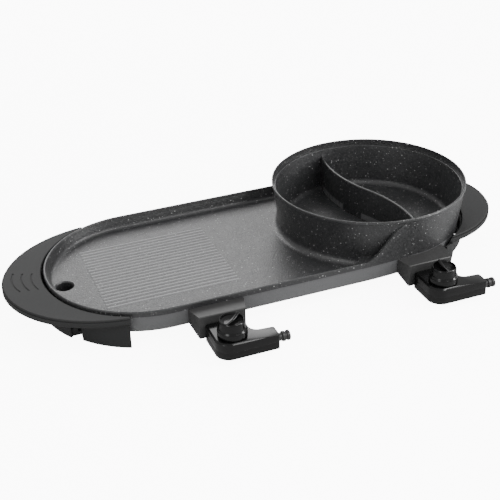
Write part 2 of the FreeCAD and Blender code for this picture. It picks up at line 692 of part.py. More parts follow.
def handle_screw_places(side):
    """Screws of one handle; side is -1 at the drain end, +1 at the pot end."""
    angle = radians(DRAIN_FOOT_ANGLE if side < 0 else POT_FOOT_ANGLE)
    radius = PLATE_HALF_WIDTH - HANDLE_BOSS_SET_IN
    x = side * (END_CENTRE_X + radius * cos(angle))
    y = radius * sin(angle)
    return [(x, -y), (x, y)]


def screw_places():
    grill, pot = guard_screw_places()
    return grill + pot + handle_screw_places(-1) + handle_screw_places(1)


def cooking_plate():
    """Die casting: grill floor, pot, divider and everything on the underside."""
    drain_x = -END_CENTRE_X - DRAIN_OFFSET
    plate = casting_envelope().cut(grill_hollow()).cut(pot_hollow()).cut(underside_hollow())
    added = grill_ridges()
    added.append(heater_channel(grill_loop()).common(casting_envelope()))
    added.append(heater_channel(pot_loop()).common(casting_envelope()))
    added += sensor_pocket(GRILL_SOCKET_X, GRILL_FRONT)
    added += sensor_pocket(POT_SOCKET_X, POT_FRONT)
    for x, y in screw_places():
        added.append(cylinder(x, y, BOSS_RADIUS, TAB_SEAT, FLOOR_MIDDLE))
    added.append(cylinder(drain_x, 0, DRAIN_RADIUS + SPOUT_WALL, WALL_BOTTOM, FLOOR_MIDDLE))
    plate = plate.multiFuse(added)
    cuts = [tube(grill_loop(), ELEMENT_RADIUS + PRESS_CLEARANCE),
            tube(pot_loop(), ELEMENT_RADIUS + PRESS_CLEARANCE),
            sensor_bore(GRILL_SOCKET_X, GRILL_FRONT), sensor_bore(POT_SOCKET_X, POT_FRONT),
            socket_notch(GRILL_SOCKET_X, GRILL_FRONT), socket_notch(POT_SOCKET_X, POT_FRONT),
            cylinder(drain_x, 0, DRAIN_RADIUS, WALL_BOTTOM - OVERCUT, FLOOR_TOP + OVERCUT),
            Part.makeCone(DRAIN_RADIUS, DRAIN_RADIUS + 2 * DRAIN_BREAK, 2 * DRAIN_BREAK,
                          vec(drain_x, 0, FLOOR_TOP - DRAIN_BREAK))]
    for x, y in screw_places():
        cuts.append(cylinder(x, y, M4_TAPPED, TAB_SEAT - OVERCUT, TAB_SEAT + TAPPED_DEPTH))
    for cutter in cuts:
        plate = plate.cut(cutter)
    return plate.removeSplitter()


# ---- heaters ---------------------------------------------------------------------
def pin_places(x, front):
    return [(x - PIN_SPACING / 2, front), (x + PIN_SPACING / 2, front)]


def terminal_pins(x, front):
    pins = [rod_along_y(px, ELEMENT_Z, PIN_RADIUS, py + PIN_TIP_DEPTH, py + PIN_ROOT_DEPTH)
            for px, py in pin_places(x, front)]
    return Part.makeCompound(pins)


def pin_insulators(x, front):
    beads = []
    for px, py in pin_places(x, front):
        end = py + PIN_ROOT_DEPTH
        start = end - INSULATOR_LENGTH
        bead = rod_along_y(px, ELEMENT_Z, INSULATOR_RADIUS, start, end)
        hole = rod_along_y(px, ELEMENT_Z, PIN_RADIUS + PRESS_CLEARANCE, start - OVERCUT, end + OVERCUT)
        beads.append(bead.cut(hole))
    return Part.makeCompound(beads)


# ---- socket guards ---------------------------------------------------------------
def guard_plan(x, front, inset, z0, z1):
    """Guard footprint with flared sides, reaching back past the cast wall."""
    half = GUARD_FRONT_HALF - inset
    flared = half + GUARD_FLARE
    back = front + GUARD_DEPTH
    deep = front + GUARD_DEPTH + GUARD_REACH
    plan = [vec(x - half, front + inset, z0), vec(x + half, front + inset, z0),
            vec(x + flared, back, z0), vec(x + flared, deep, z0),
            vec(x - flared, deep, z0), vec(x - flared, back, z0)]
    return Part.Face(Part.makePolygon(plan + plan[:1])).extrude(vec(0, 0, z1 - z0))


def guard_side(x, front):
    """Side view: a bevelled front edge and a slanted underside."""
    deep = front + GUARD_DEPTH + GUARD_REACH
    rise = GUARD_BOTTOM + GUARD_RISE
    points = [(front, GUARD_BOTTOM), (front + GUARD_WALL, GUARD_BOTTOM), (front + GUARD_DEPTH, rise),
              (deep, rise), (deep, GUARD_TOP), (front + GUARD_EDGE, GUARD_TOP),
              (front, GUARD_TOP - GUARD_EDGE)]
    return end_prism(points, x - FAR / 4, x + FAR / 4)


def fattened_walls():
    """The casting's outside near a guard, grown by the gap that the guard leaves."""
    grown = -GUARD_GAP
    low = GUARD_BOTTOM - OVERCUT
    high = RIM_HEIGHT
    plate = loft(plate_outline(low, wall_inset(low) + grown, grown),
                 plate_outline(high, wall_inset(high) + grown, grown))
    pot = revolve([(0, low, 0), (pot_radius(low) - grown, low, 0),
                   (pot_radius(high) - grown, high, 0), (0, high, 0)])
    return [plate, pot]


def socket_guard(x, front, screws):
    """Shroud round a socket, open below, screwed up under the plate by two tabs."""
    shroud = guard_plan(x, front, 0, GUARD_BOTTOM, GUARD_TOP).common(guard_side(x, front))
    shroud = shroud.cut(guard_plan(x, front, GUARD_WALL, 0, GUARD_TOP - GUARD_WALL))
    for wall in fattened_walls():
        shroud = shroud.cut(wall)
    opening = box(x - NOSE_HALF_WIDTH - NOSE_CLEARANCE, x + NOSE_HALF_WIDTH + NOSE_CLEARANCE,
                  front - OVERCUT, front + GUARD_WALL + OVERCUT,
                  NOSE_BOTTOM - NOSE_CLEARANCE, NOSE_TOP + NOSE_CLEARANCE)
    pieces = [shroud.cut(opening)]
    tab_low = TAB_SEAT - TAB_THICKNESS
    for sx, sy in screws:
        pieces.append(box(sx - TAB_HALF_WIDTH, sx + TAB_HALF_WIDTH, front + GUARD_WALL / 2, sy,
                          tab_low, TAB_SEAT))
        pieces.append(cylinder(sx, sy, TAB_HALF_WIDTH, tab_low, TAB_SEAT))
    guard = fuse(pieces)
    for sx, sy in screws:
        guard = guard.cut(cylinder(sx, sy, M4_CLEAR, tab_low - OVERCUT, TAB_SEAT + OVERCUT))
    return guard


def guard_screws(screws):
    seat = TAB_SEAT - TAB_THICKNESS
    return Part.makeCompound([screw(x, y, seat, M4_SHANK, M4_GRIP, M4_HEAD, M4_HEAD_HEIGHT)
                              for x, y in screws])


# ---- handles (drawn at the drain end, mirrored for the pot end) ------------------
class HandleEnd:
    """Places that one handle and its legs are drawn from."""

    def __init__(self, offset, reach, inset, tip, leg_start, tuck, foot_angle):
        self.centre_x = -END_CENTRE_X - offset
        self.half_length = PLATE_HALF_WIDTH + reach - offset
        self.half_width = PLATE_HALF_WIDTH - inset
        self.tip_x = -END_CENTRE_X - tip
        self.inner = PLATE_HALF_WIDTH + HANDLE_GAP - tuck
        self.skirt_inner = PLATE_HALF_WIDTH + SKIRT_CLEARANCE - tuck
        self.skirt_outer = self.skirt_inner + SKIRT_THICKNESS
        self.skirt_start = degrees(asin(GUIDE_EDGE / self.skirt_outer))
        self.tip_angle = degrees(acos(tip / self.skirt_inner))
        self.leg_angle = degrees(acos(leg_start / self.skirt_inner))
        self.foot_angle = foot_angle


def drain_end():
    return HandleEnd(HANDLE_OFFSET, HANDLE_REACH, HANDLE_INSET, HANDLE_TIP, HANDLE_TIP,
                     0.0, DRAIN_FOOT_ANGLE)


def pot_end():
    return HandleEnd(POT_HANDLE_OFFSET, POT_HANDLE_REACH, POT_HANDLE_INSET, POT_HANDLE_TIP,
                     POT_LEG_START, POT_HANDLE_TUCK, POT_FOOT_ANGLE)


def handle_ellipse(end, z, inset):
    centre = vec(end.centre_x, 0, z)
    half_length = end.half_length - inset
    half_width = end.half_width - inset
    if half_length >= half_width:
        return [Part.Ellipse(centre, half_length, half_width).toShape()]
    tip = centre + vec(0, half_width)
    side = centre + vec(half_length, 0)
    return [Part.Ellipse(tip, side, centre).toShape()]


def crescent(end, z0, inset0, gap0, z1, inset1, gap1):
    """Crescent between the handle's ellipse and a circle about the end centre."""
    body = loft(handle_ellipse(end, z0, inset0), handle_ellipse(end, z1, inset1))
    base = vec(-END_CENTRE_X, 0, z0)
    if gap0 == gap1:
        hole = Part.makeCylinder(end.inner + gap0, z1 - z0, base)
    else:
        hole = Part.makeCone(end.inner + gap0, end.inner + gap1, z1 - z0, base)
    beyond_tip = box(end.tip_x, FAR, -FAR, FAR, z0 - OVERCUT, z1 + OVERCUT)
    return body.cut(hole).cut(beyond_tip)


def cover_posts(end):
    """Three posts under the cover: one at the end and one to each side."""
    places = []
    for y in (-COVER_POST_WIDE_Y, 0.0, COVER_POST_WIDE_Y):
        inner = -END_CENTRE_X - sqrt(end.inner ** 2 - y ** 2)
        outer = end.centre_x - end.half_length * sqrt(1 - (y / end.half_width) ** 2)
        places.append(((inner + outer) / 2, y))
    return places


def handle_cover(end):
    """Top cover: a thin crescent with a locating lip and three screw posts."""
    edge_z = HANDLE_TOP - COVER_EDGE
    inset = COVER_SET_BACK
    plate = crescent(end, COVER_BOTTOM, inset, 0, edge_z, inset, 0)
    top = crescent(end, edge_z, inset, 0, HANDLE_TOP, inset + COVER_EDGE, COVER_EDGE)
    lip_z = COVER_BOTTOM - LIP_DEPTH
    inside = HANDLE_WALL + LIP_CLEARANCE
    lip = crescent(end, lip_z, inside, inside, COVER_BOTTOM, inside, inside)
    hollow = inside + LIP_WALL
    lip = lip.cut(crescent(end, lip_z, hollow, hollow, COVER_BOTTOM, hollow, hollow))
    post_bottom = HANDLE_BAND_BOTTOM + HANDLE_WALL + SMALL_HEAD_HEIGHT
    pieces = [plate, top, lip]
    for x, y in cover_posts(end):
        pieces.append(cylinder(x, y, COVER_POST_RADIUS, post_bottom, COVER_BOTTOM))
    cover = fuse(pieces)
    for x, y in cover_posts(end):
        cover = cover.cut(cylinder(x, y, SMALL_TAPPED, post_bottom - OVERCUT, COVER_BOTTOM + OVERCUT / 2))
    return cover


def grip_grooves():
    """Shallow arcs for the thumb, side by side on the drain-end cover."""
    grooves = []
    for index in range(GRIP_COUNT):
        centre_x = GRIP_RADIUS + index * GRIP_PITCH - END_CENTRE_X - PLATE_HALF_WIDTH - GRIP_REACH
        half_length = GRIP_HALF_LENGTH - index * GRIP_SHORTENING
        half_angle = degrees(half_length / GRIP_RADIUS)
        groove = ring_sector(centre_x, GRIP_RADIUS - GRIP_WIDTH / 2, GRIP_RADIUS + GRIP_WIDTH / 2,
                             HANDLE_TOP - GRIP_DEPTH, HANDLE_TOP + OVERCUT,
                             180 - half_angle, 2 * half_angle)
        groove.translate(vec(0, GRIP_CENTRE_Y - index * GRIP_DRIFT))
        grooves.append(groove)
    return grooves


def drain_handle_cover():
    cover = handle_cover(drain_end())
    for groove in grip_grooves():
        cover = cover.cut(groove)
    return cover


def skirt_wall(end):
    """Curved leg wall on the -Y side, from the tray's guide to the handle's tip."""
    start = 180 + end.skirt_start
    leg = ring_sector(-END_CENTRE_X, end.skirt_inner, end.skirt_outer, SKIRT_BOTTOM, HANDLE_BAND_BOTTOM,
                      start, end.leg_angle - end.skirt_start)
    collar = ring_sector(-END_CENTRE_X, end.skirt_inner, end.inner + HANDLE_WALL,
                         HANDLE_BAND_BOTTOM, SKIRT_TOP, start, end.tip_angle - end.skirt_start)
    return [leg, collar]


def foot_place(end):
    radius = end.skirt_inner - FOOT_SEAT_SET_IN
    angle = radians(end.foot_angle)
    return -END_CENTRE_X - radius * cos(angle), -radius * sin(angle)


def leg(end):
    """Skirt wall, foot seat and screw tab, all on the -Y side."""
    foot_x, foot_y = foot_place(end)
    tab_low = TAB_SEAT - HANDLE_TAB_THICKNESS
    seat = cylinder(foot_x, foot_y, FOOT_SEAT_RADIUS, FOOT_HEIGHT, tab_low)
    tab_end = -END_CENTRE_X - PLATE_HALF_WIDTH + HANDLE_BOSS_SET_IN
    tab = box(-END_CENTRE_X - end.skirt_inner - SKIRT_THICKNESS / 2, tab_end,
              -HANDLE_TAB_HALF, HANDLE_TAB_HALF, tab_low, TAB_SEAT)
    tab = tab.fuse(cylinder(tab_end, 0, HANDLE_TAB_HALF, tab_low, TAB_SEAT))
    tab.rotate(vec(-END_CENTRE_X, 0), Z_AXIS, end.foot_angle)
    return skirt_wall(end) + [seat, tab]


def cut_leg(shape, end, places):
    """Foot and screw holes."""
    foot_x, foot_y = foot_place(end)
    stem = FOOT_STEM_RADIUS + STEM_CLEARANCE
    stem_top = FOOT_HEIGHT + FOOT_STEM_LENGTH + OVERCUT / 2
    for y in (foot_y, -foot_y):
        shape = shape.cut(cylinder(foot_x, y, stem, SKIRT_BOTTOM, stem_top))
    for x, y in places:
        shape = shape.cut(cylinder(x, y, M4_CLEAR, SKIRT_BOTTOM, TAB_SEAT + OVERCUT))
    return shape


def handle_tray(end):
    """Open crescent that the cover closes, with three screw wells in its floor."""
    round_z = HANDLE_BAND_BOTTOM + BAND_ROUND
    floor_z = HANDLE_BAND_BOTTOM + HANDLE_WALL
    bottom = crescent(end, HANDLE_BAND_BOTTOM, BAND_ROUND, 0, round_z, 0, 0)
    band = crescent(end, round_z, 0, 0, COVER_BOTTOM, 0, 0)
    hollow = crescent(end, floor_z, HANDLE_WALL, HANDLE_WALL, COVER_BOTTOM, HANDLE_WALL, HANDLE_WALL)
    well_top = floor_z + SMALL_HEAD_HEIGHT
    wells = [cylinder(x, y, COVER_POST_RADIUS + HANDLE_WALL / 2, HANDLE_BAND_BOTTOM, well_top)
             for x, y in cover_posts(end)]
    tray = fuse([bottom, band]).cut(hollow)
    return fuse([tray] + wells)


def cut_wells(shape, end):
    well_top = HANDLE_BAND_BOTTOM + SMALL_HEAD_HEIGHT + HEAD_CLEARANCE
    head = SMALL_HEAD + HEAD_CLEARANCE
    for x, y in cover_posts(end):
        shape = shape.cut(cylinder(x, y, head, HANDLE_BAND_BOTTOM - OVERCUT, well_top))
        shape = shape.cut(cylinder(x, y, SMALL_CLEAR, HANDLE_BAND_BOTTOM, COVER_BOTTOM))
    return shape


def tray_guide():
    """Channel on the -Y side that the drip tray's runner slides in."""
    front = -END_CENTRE_X - sqrt(drain_end().skirt_outer ** 2 - GUIDE_EDGE ** 2)
    back = -END_CENTRE_X - GUIDE_BACK
    wall = box(front, back, -GUIDE_EDGE, -RUNNER_EDGE, GUIDE_BOTTOM, TAB_SEAT)
    ledge_y = TRAY_HALF_WIDTH + RUNNER_CLEARANCE
    below = RUNNER_Z - RUNNER_REST
    above = RUNNER_Z + RUNNER_THICKNESS + RUNNER_CLEARANCE
    lower = box(front, back, -GUIDE_EDGE, -ledge_y, below - GUIDE_LEDGE, below)
    upper = box(front, back, -GUIDE_EDGE, -ledge_y, above, above + GUIDE_LEDGE)
    return [wall, lower, upper]


def handle_base_drain():
    """Handle base at the drain end: long skirts and the drip tray's guides."""
    end = drain_end()
    near = leg(end) + tray_guide()
    base = fuse([handle_tray(end)] + near + [mirror_y(piece) for piece in near])
    return cut_leg(cut_wells(base, end), end, handle_screw_places(-1))


def gap_wall(end):
    """Wall under the tray's inner edge, its foot turned in to just short of the pot."""
    start = 180 - end.tip_angle
    turn = 2 * end.tip_angle
    foot_top = WALL_BOTTOM + GAP_LIP_THICKNESS
    foot = ring_sector(-END_CENTRE_X, pot_radius(foot_top) + GAP_LIP_CLEARANCE, end.skirt_outer,
                       WALL_BOTTOM, foot_top, start, turn)
    wall = ring_sector(-END_CENTRE_X, end.skirt_inner, end.skirt_outer, WALL_BOTTOM,
                       HANDLE_BAND_BOTTOM, start, turn)
    collar = ring_sector(-END_CENTRE_X, end.skirt_inner, end.inner + HANDLE_WALL,
                         HANDLE_BAND_BOTTOM, SKIRT_TOP, start, turn)
    return fuse([foot, wall, collar])


def handle_base_pot():
    """Handle base at the pot end: two tapered legs."""
    end = pot_end()
    near = leg(end)
    top_x = -END_CENTRE_X - PLATE_HALF_WIDTH + POT_LEG_SET_IN
    trim = side_prism([(top_x, HANDLE_BAND_BOTTOM), (top_x + POT_LEG_TAPER, SKIRT_BOTTOM - OVERCUT),
                       (-FAR, SKIRT_BOTTOM - OVERCUT), (-FAR, HANDLE_BAND_BOTTOM)], -FAR, FAR)
    near[0] = near[0].cut(trim)
    base = fuse([handle_tray(end), gap_wall(end)] + near + [mirror_y(piece) for piece in near])
    places = [(-x, y) for x, y in handle_screw_places(1)]
    return mirror_x(cut_leg(cut_wells(base, end), end, places))


def handle_screws(side):
    seat = TAB_SEAT - HANDLE_TAB_THICKNESS
    length = M4_GRIP + HANDLE_TAB_THICKNESS - TAB_THICKNESS
    return Part.makeCompound([screw(x, y, seat, M4_SHANK, length, M4_HEAD, M4_HEAD_HEIGHT)
                              for x, y in handle_screw_places(side)])


def cover_screws(end):
    seat = HANDLE_BAND_BOTTOM + SMALL_HEAD_HEIGHT + HEAD_CLEARANCE
    return Part.makeCompound([screw(x, y, seat, SMALL_SHANK, COVER_SCREW_LENGTH, SMALL_HEAD,
                                    SMALL_HEAD_HEIGHT) for x, y in cover_posts(end)])


def rubber_feet(end):
    x, y = foot_place(end)
    feet = []
    for side_y in (y, -y):
        pad = cylinder(x, side_y, FOOT_RADIUS, 0, FOOT_HEIGHT)
        stem = cylinder(x, side_y, FOOT_STEM_RADIUS, FOOT_HEIGHT / 2, FOOT_HEIGHT + FOOT_STEM_LENGTH)
        feet.append(pad.fuse(stem).removeSplitter())
    return Part.makeCompound(feet)


# ---- drip tray -------------------------------------------------------------------
def tray_plan(inset, z0, z1):
    """Tray footprint: straight sides and back, front rounded to the plate's end."""
    half = TRAY_HALF_WIDTH - inset
    back = -END_CENTRE_X - TRAY_BACK - inset
    front = -END_CENTRE_X - PLATE_HALF_WIDTH - TRAY_PANEL_GAP
    points = [vec(front - TRAY_ROUND, -half, z0), vec(back, -half, z0), vec(back, half, z0),
              vec(front - TRAY_ROUND, half, z0)]
    radii = [OVERCUT, TRAY_ROUND - inset, TRAY_ROUND - inset, OVERCUT]
    plan = prism(rounded_outline(points, radii), z1 - z0)
    reach = PLATE_HALF_WIDTH + TRAY_PANEL_GAP + TRAY_PANEL_THICKNESS / 2 - inset
    return plan.common(cylinder(-END_CENTRE_X, 0, reach, z0, z1))


def drip_tray():
    """Shallow tray with two runners and a tall curved front panel."""
    inner = PLATE_HALF_WIDTH + TRAY_PANEL_GAP
    outer = inner + TRAY_PANEL_THICKNESS
    half_angle = degrees(asin(TRAY_PANEL_HALF / outer))
    inside = tray_plan(TRAY_WALL, TRAY_BOTTOM + TRAY_WALL, TRAY_TOP + OVERCUT)
    pan = tray_plan(0, TRAY_BOTTOM, TRAY_TOP).cut(inside)
    panel = ring_sector(-END_CENTRE_X, inner, outer, TRAY_BOTTOM, TRAY_PANEL_TOP,
                        180 - half_angle, 2 * half_angle)
    front = -END_CENTRE_X - sqrt(drain_end().skirt_inner ** 2 - TRAY_HALF_WIDTH ** 2)
    back = -END_CENTRE_X - TRAY_BACK
    runner = box(front, back, TRAY_HALF_WIDTH - TRAY_WALL, TRAY_HALF_WIDTH + RUNNER_WIDTH,
                 RUNNER_Z, RUNNER_Z + RUNNER_THICKNESS)
    return fuse([pan, panel, runner, mirror_y(runner)])


# ---- thermostat probes (x is the socket's centre, front the guard's face) --------
def probe_outline(x, front, z, inset):
    """L-shaped plan: a body in front of the guard and an arm to the right."""
    left = x - PROBE_HALF_WIDTH + inset
    right = x + PROBE_HALF_WIDTH - inset
    end = x + PROBE_HALF_WIDTH + ARM_LENGTH - inset
    back = front - PROBE_GAP - inset
    near = front - PROBE_GAP - PROBE_LENGTH + inset
    arm_back = near + ARM_DEPTH - 2 * inset
    points = [vec(left, back, z), vec(left, near, z), vec(end, near, z), vec(end, arm_back, z),
              vec(right, arm_back, z), vec(right, back, z)]
    small = max(SMALL_CORNER - inset, SHARPEST_CORNER)
    radii = [small, OUTER_CORNER - inset, small, small, INNER_CORNER + inset, small]
    return rounded_outline(points, radii)


def probe_solid(x, front, inset, z0, z1):
    """Probe body between two heights, with its bevelled and falling top."""
    top = PROBE_TOP - inset
    bevel_z = top - PROBE_BEVEL
    lower = prism(probe_outline(x, front, z0, inset), min(bevel_z, z1) - z0)
    if z1 <= bevel_z:
        return lower
    bevel = loft(probe_outline(x, front, bevel_z, inset),
                 probe_outline(x, front, top, inset + PROBE_BEVEL))
    right = x + PROBE_HALF_WIDTH - OUTER_CORNER
    end = x + PROBE_HALF_WIDTH + ARM_LENGTH
    fall = side_prism([(right, top), (end + OVERCUT, top - ARM_DROP), (end + OVERCUT, top + OVERCUT),
                       (right, top + OVERCUT)], front - FAR / 2, front)
    return fuse([lower, bevel]).cut(fall)


def probe_screw_places(x, front):
    near = front - PROBE_GAP - PROBE_LENGTH
    side = PROBE_HALF_WIDTH - SHELL_WALL - SHELL_POST + POST_SINK
    arm = x + PROBE_HALF_WIDTH + ARM_LENGTH / 2 - SHELL_POST
    back = front - 2 * SHELL_POST - NOSE_ROOT
    return [(x - side, back), (x + side, back),
            (arm, near + ARM_DEPTH - SHELL_WALL - SHELL_POST + POST_SINK)]


def nose_window(x, front):
    return box(x - NOSE_HALF_WIDTH, x + NOSE_HALF_WIDTH, front - PROBE_GAP - NOSE_ROOT, front + OVERCUT,
               NOSE_BOTTOM, NOSE_TOP)


def relief_hole(x, front):
    arm_end = x + PROBE_HALF_WIDTH + ARM_LENGTH
    y = front - PROBE_GAP - PROBE_LENGTH + ARM_DEPTH / 2
    radius = RELIEF_NECK + RELIEF_CLEARANCE
    return rod_along_x(y, RELIEF_Z, radius, arm_end - 2 * SHELL_WALL, arm_end + OVERCUT)


def probe_lower_shell(x, front):
    shell = probe_solid(x, front, 0, PROBE_BOTTOM, PROBE_SPLIT)
    hollow = probe_solid(x, front, SHELL_WALL, PROBE_BOTTOM + SHELL_WALL, PROBE_SPLIT)
    shell = shell.cut(hollow)
    places = probe_screw_places(x, front)
    posts = [cylinder(px, py, SHELL_POST, PROBE_BOTTOM + SHELL_WALL / 2, PROBE_SPLIT)
             for px, py in places]
    shell = fuse([shell] + posts)
    head = SMALL_HEAD + HEAD_CLEARANCE / 2
    head_top = PROBE_BOTTOM + SMALL_HEAD_HEIGHT + HEAD_CLEARANCE
    for px, py in places:
        shell = shell.cut(cylinder(px, py, SMALL_CLEAR, PROBE_BOTTOM - OVERCUT, PROBE_SPLIT + OVERCUT))
        shell = shell.cut(cylinder(px, py, head, PROBE_BOTTOM - OVERCUT, head_top))
    return shell.cut(nose_window(x, front)).cut(relief_hole(x, front))


def probe_upper_shell(x, front):
    shell = probe_solid(x, front, 0, PROBE_SPLIT, PROBE_TOP)
    shell = shell.cut(probe_solid(x, front, SHELL_WALL, PROBE_SPLIT, PROBE_TOP - SHELL_WALL))
    post_top = PROBE_TOP - SHELL_WALL - ARM_DROP / 2
    places = probe_screw_places(x, front)
    posts = [cylinder(px, py, SHELL_POST, PROBE_SPLIT, post_top) for px, py in places]
    bush = cylinder(x, front - KNOB_SETBACK, 2 * SPINDLE_RADIUS,
                    THERMOSTAT_TOP + KNOB_LIFT, PROBE_TOP - SHELL_WALL / 2)
    shell = fuse([shell, bush] + posts)
    for px, py in places:
        shell = shell.cut(cylinder(px, py, SMALL_TAPPED, PROBE_SPLIT - OVERCUT, post_top - OVERCUT))
    spindle_hole = cylinder(x, front - KNOB_SETBACK, SPINDLE_RADIUS + SPINDLE_CLEARANCE,
                            PROBE_SPLIT, PROBE_TOP + OVERCUT)
    return shell.cut(spindle_hole).cut(nose_window(x, front)).cut(relief_hole(x, front))


def probe_nose(x, front):
    """Heat-resistant block that carries the contacts and the rod."""
    block = box(x - NOSE_HALF_WIDTH, x + NOSE_HALF_WIDTH, front - PROBE_GAP - NOSE_ROOT,
                front + NOSE_REACH, NOSE_BOTTOM, NOSE_TOP)
    snug = PRESS_CLEARANCE / 2
    for px, py in pin_places(x, front):
        block = block.cut(rod_along_y(px, ELEMENT_Z, CONTACT_OUTER + snug, py - FAR / 4, py + FAR / 4))
    return block.cut(rod_along_y(x, ROD_Z, ROD_RADIUS + snug, front - FAR / 4, front + FAR / 4))


def probe_contacts(x, front):
    """Two sprung sleeves that grip the heater's pins."""
    sleeves = []
    for px, py in pin_places(x, front):
        tail = py - PROBE_GAP - NOSE_ROOT - CONTACT_TAIL
        mouth = py + NOSE_REACH - CONTACT_INSET
        sleeve = rod_along_y(px, ELEMENT_Z, CONTACT_OUTER, tail, mouth)
        bore = rod_along_y(px, ELEMENT_Z, PIN_RADIUS + CONTACT_CLEARANCE, py, mouth + OVERCUT)
        sleeves.append(sleeve.cut(bore))
    return Part.makeCompound(sleeves)


def probe_rod(x, front):
    """Sensor rod from the thermostat to the pocket under the plate."""
    back = front - KNOB_SETBACK + THERMOSTAT_LENGTH / 2
    tip = front + POCKET_START + POCKET_LENGTH - 2 * POT_WALL
    return rod_along_y(x, ROD_Z, ROD_RADIUS, back, tip)


def probe_thermostat(x, front):
    """Switch block under the knob, standing on a pedestal."""
    y = front - KNOB_SETBACK
    half = THERMOSTAT_HALF_WIDTH
    block = box(x - half, x + half, y - THERMOSTAT_LENGTH / 2, y + THERMOSTAT_LENGTH / 2,
                THERMOSTAT_BOTTOM, THERMOSTAT_TOP)
    step = box(x - half, x + half, y - THERMOSTAT_LENGTH / 2, y - SPINDLE_RADIUS - OVERCUT,
               THERMOSTAT_TOP - 2 * SHELL_WALL, THERMOSTAT_TOP)
    foot = box(x - half / 2, x + half / 2, y - THERMOSTAT_LENGTH / 4, y + THERMOSTAT_LENGTH / 4,
               PROBE_BOTTOM + SHELL_WALL, THERMOSTAT_BOTTOM)
    return fuse([block.cut(step), foot])


def strain_relief(x, front):
    """Rubber bush at the arm's end: a root inside, necks and two flanges outside."""
    arm_end = x + PROBE_HALF_WIDTH + ARM_LENGTH
    y = front - PROBE_GAP - PROBE_LENGTH + ARM_DEPTH / 2
    mouth = arm_end + RELIEF_LENGTH
    flange = RELIEF_LENGTH / 4
    root_end = arm_end - SHELL_WALL - RELIEF_CLEARANCE
    root = rod_along_x(y, RELIEF_Z, RELIEF_FLANGE, root_end - RELIEF_ROOT / 2, root_end)
    neck = rod_along_x(y, RELIEF_Z, RELIEF_NECK, root_end - RELIEF_ROOT, mouth - flange / 2)
    middle = rod_along_x(y, RELIEF_Z, RELIEF_FLANGE, mouth - 3 * flange, mouth - 2 * flange)
    end = rod_along_x(y, RELIEF_Z, RELIEF_FLANGE, mouth - flange, mouth)
    bore = rod_along_x(y, RELIEF_Z, RELIEF_BORE, root_end - RELIEF_ROOT - OVERCUT, mouth + OVERCUT)
    return fuse([root, neck, middle, end]).cut(bore)


def probe_screws(x, front):
    seat = PROBE_BOTTOM + SMALL_HEAD_HEIGHT + HEAD_CLEARANCE
    length = PROBE_TOP - SHELL_WALL - ARM_DROP - seat - 2 * OVERCUT
    return Part.makeCompound([screw(px, py, seat, SMALL_SHANK, length, SMALL_HEAD, SMALL_HEAD_HEIGHT)
                              for px, py in probe_screw_places(x, front)])


# ---- knobs -----------------------------------------------------------------------
def knob(x, front, turn):
    """Skirted knob with two finger wells and a raised bar between them."""
    y = front - KNOB_SETBACK
    base = PROBE_TOP + KNOB_LIFT
    skirt_z = base + KNOB_SKIRT_HEIGHT
    top = base + KNOB_HEIGHT
    well_z = top - KNOB_WELL_DEPTH
    shoulder_radius = KNOB_TOP_RADIUS + KNOB_EDGE / 2
    drum_top = top - KNOB_EDGE
    at = vec(x, y, base)
    skirt = Part.makeCone(KNOB_RADIUS, KNOB_RADIUS - KNOB_EDGE / 2, KNOB_SKIRT_HEIGHT - KNOB_EDGE, at)
    shoulder = Part.makeCone(KNOB_RADIUS - KNOB_EDGE / 2, shoulder_radius, KNOB_EDGE,
                             vec(x, y, skirt_z - KNOB_EDGE))
    drum = Part.makeCone(shoulder_radius, KNOB_TOP_RADIUS, drum_top - skirt_z, vec(x, y, skirt_z))
    crown = Part.makeCone(KNOB_TOP_RADIUS, KNOB_TOP_RADIUS - KNOB_EDGE, KNOB_EDGE, vec(x, y, drum_top))
    body = fuse([skirt, shoulder, drum, crown])
    well = Part.makeCone(KNOB_WELL_RADIUS - KNOB_EDGE, KNOB_WELL_RADIUS, KNOB_WELL_DEPTH + OVERCUT / 10,
                         vec(x, y, well_z))
    body = body.cut(well)
    half = KNOB_BAR_WIDTH / 2
    near_y = y - KNOB_WELL_RADIUS
    far_y = y + KNOB_WELL_RADIUS
    bar_top = top + KNOB_BAR_RISE
    bar = end_prism([(near_y, well_z - KNOB_EDGE), (far_y, well_z - KNOB_EDGE), (far_y, bar_top),
                     (far_y - KNOB_EDGE, bar_top), (near_y, top)], x - half, x + half)
    inside = cylinder(x, y, KNOB_TOP_RADIUS - KNOB_WALL, base - OVERCUT, well_z - KNOB_WALL)
    hub = cylinder(x, y, 2 * SPINDLE_RADIUS, base, well_z - KNOB_EDGE)
    bore = cylinder(x, y, SPINDLE_RADIUS + PRESS_CLEARANCE / 3, base - OVERCUT, well_z - KNOB_WALL)
    body = fuse([body, bar]).cut(inside)
    body = fuse([body, hub]).cut(bore)
    body.rotate(at, Z_AXIS, turn)
    return body


def knob_spindle(x, front, turn):
    """Turned spindle with a flat at its top, standing just over the switch."""
    y = front - KNOB_SETBACK
    top = PROBE_TOP + KNOB_LIFT + KNOB_HEIGHT - KNOB_WELL_DEPTH - KNOB_WALL
    flat_z = PROBE_TOP + KNOB_LIFT + KNOB_SKIRT_HEIGHT / 2
    shaft = cylinder(x, y, SPINDLE_RADIUS, THERMOSTAT_TOP + KNOB_LIFT / 2, top)
    reach = SPINDLE_RADIUS + OVERCUT
    flat = box(x - reach, x + reach, y + SPINDLE_RADIUS - SPINDLE_FLAT, y + reach, flat_z, top + OVERCUT)
    shaft = shaft.cut(flat)
    shaft.rotate(vec(x, y), Z_AXIS, turn)
    return shaft


# ---- the object ------------------------------------------------------------------
GRILL_KNOB_TURN = -55.0
POT_KNOB_TURN = 0.0


